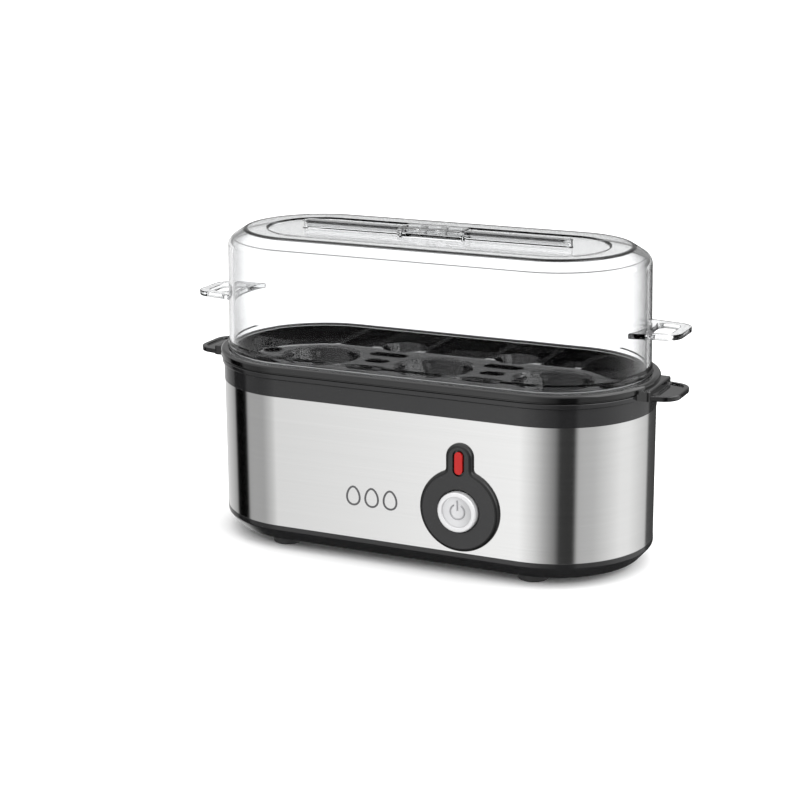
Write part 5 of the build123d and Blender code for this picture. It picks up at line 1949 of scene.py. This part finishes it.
@dataclass
class Studio:
    """Pale floor, soft surround, an overhead soft box and the camera."""

    camera_place: tuple[float, float, float] = (0.363494, -0.805446, 0.308114)
    yaw: float = 25.3387
    pitch: float = 15.2250
    roll: float = 0.4311
    lens: float = 88.813
    sensor: float = 36.0
    clip: Point = (0.01, 60.0)
    floor_half: float = 9.0
    floor_grey: float = 0.93
    floor_mottle: float = 0.01
    floor_cloud: float = 3.0
    floor_roughness: float = 0.32
    bands: tuple[Point, ...] = (
        (-180, 0.06), (-160, 0.06), (-150, 0.5), (-135, 0.8), (-112, 0.6), (-100, 0.4), (-96, 0.0),
        (-75, 0.0), (-71, 0.46), (-47, 0.45), (-35, 0.7), (-21, 1.2), (-3, 0.85), (9, 0.52), (21, 0.26),
        (27, 0.05), (43, 0.035), (48, 0.55), (66, 0.6), (102, 1.0), (116, 1.0), (150, 0.65), (155, 0.1),
        (180, 0.06),
    )
    belt: tuple[Point, ...] = (
        (-180, 0.42), (-125, 0.42), (-100, 0.9), (-20, 1.0), (30, 0.6), (60, 0.9), (120, 0.9), (150, 0.42),
        (180, 0.42),
    )
    pit: float = 0.04
    pit_span: Point = (-0.75, -0.5)
    belt_span: Point = (0.0, 0.1)
    ceiling: float = 1.05
    ceiling_span: Point = (0.38, 0.6)
    tent: float = 1.12
    sky_spread: float = 100.0
    sky_power: float = 1.5
    key_size: Point = (2.0, 1.3)
    key_turn: float = 97.0
    key_rise: float = 30.0
    key_away: float = 1.5
    key_power: float = 16.0

    def build(self) -> None:
        """Make the floor, the light and the camera."""
        self._floor()
        self._surround()
        self._light()
        self._camera()
        bpy.context.scene.view_settings.view_transform = "Standard"

    def _floor(self) -> None:
        """Lay a wide pale floor that reflections look past."""
        h = self.floor_half
        mesh = bpy.data.meshes.new("floor")
        mesh.from_pydata([(-h, -h, 0), (h, -h, 0), (h, h, 0), (-h, h, 0)], [], [(0, 1, 2, 3)])
        made = bpy.data.materials.new("pale_floor")
        made.use_nodes = True
        graph = Graph(made.node_tree)
        cloud = graph.noise((self.floor_cloud,) * 3, 2.0)
        grey = (self.floor_grey,) * 3
        graph.finish(graph.node("ShaderNodeBsdfPrincipled", None, {
            "Base Color": graph.blend(cloud, shaded(grey, 1 - self.floor_mottle),
                                      shaded(grey, 1 + self.floor_mottle)),
            "Roughness": self.floor_roughness, "Specular IOR Level": 0.0,
        }))
        mesh.materials.append(made)
        floor = placed("floor", mesh)
        floor.visible_glossy = False

    def _surround(self) -> None:
        """Surround the object with bright panels and dark gaps, plain white to the camera."""
        world = bpy.data.worlds.new("studio")
        world.use_nodes = True
        graph = Graph(world.node_tree)
        x, y, z = graph.split(graph.node("ShaderNodeTexCoord", None, None, "Generated"))
        turn = graph.node("ShaderNodeMath", {"operation": "ARCTAN2"}, {0: x, 1: 0.0 - y}) / math.tau + 0.5
        side, belt = (
            graph.node("ShaderNodeValToRGB", {"stops": [((a + 180) / 360, v) for a, v in stops]},
                       {"Fac": turn})
            for stops in (self.bands, self.belt)
        )
        light = graph.blend(graph.step(z, self.pit_span), (self.pit,) * 3, side)
        light = graph.blend(graph.step(z, self.belt_span), light, belt)
        light = graph.blend(graph.step(z, self.ceiling_span), light, (self.ceiling,) * 3)
        seen = graph.node("ShaderNodeLightPath", None, None, "Is Camera Ray")
        soft = graph.node("ShaderNodeLightPath", None, None, "Is Diffuse Ray")
        shown = graph.blend(seen.largest(soft), light, (self.tent,) * 3)
        graph.finish(graph.node("ShaderNodeBackground", None, {"Color": shown, "Strength": 1.0}),
                     "ShaderNodeOutputWorld")
        bpy.context.scene.world = world

    def _light(self) -> None:
        """Light the set evenly from above and hang one soft box beside it."""
        sky = bpy.data.lights.new("sky_panel", "SUN")
        sky.angle = math.radians(self.sky_spread)
        sky.energy = self.sky_power
        placed("sky_panel", sky)
        key = bpy.data.lights.new("key_box", "AREA")
        key.shape = "RECTANGLE"
        key.size, key.size_y = self.key_size
        key.energy = self.key_power
        away = heading(self.key_turn, self.key_rise)
        facing = away.to_track_quat("Z", "Y").to_matrix().to_4x4()
        placed("key_box", key).matrix_world = Matrix.Translation(away * self.key_away) @ facing

    def _camera(self) -> None:
        """Stand the camera where the photograph was taken from."""
        back = heading(self.yaw, self.pitch)
        roll = math.radians(self.roll)
        right = (-back).cross(Vector((0, 0, 1))).normalized()
        down = (-back).cross(right)
        across = right * math.cos(roll) + down * math.sin(roll)
        up = right * math.sin(roll) - down * math.cos(roll)
        data = bpy.data.cameras.new("camera")
        data.lens = self.lens
        data.sensor_width = self.sensor
        data.clip_start, data.clip_end = self.clip
        camera = placed("camera", data)
        turn = Matrix((across, up, back)).transposed().to_4x4()
        camera.matrix_world = Matrix.Translation(Vector(self.camera_place)) @ turn
        bpy.context.scene.camera = camera


def dress_hidden(frame: dict) -> None:
    """Give the CAD nodes inside the base their procedural finishes.
    """
    slots = {s["node"]: s["material_slot"] for s in frame["record"]["subparts"]}
    for name, node in frame["nodes"].items():
        finish = HIDDEN.get(slots.get(name))
        if finish and not node.hide_render:
            node.data.materials.clear()
            node.data.materials.append(finish.material())


def main() -> None:
    """Build every piece round the frame."""
    logging.basicConfig(level=logging.INFO, format="%(name)s: %(message)s")
    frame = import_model()
    panel = ControlPanel()
    Base().build(CornerSet(), panel)
    panel.build()
    FrontMark().build()
    EggTray().build()
    Lid().build()
    dress_hidden(frame)
    Studio().build()


if __name__ == "__main__":
    main()
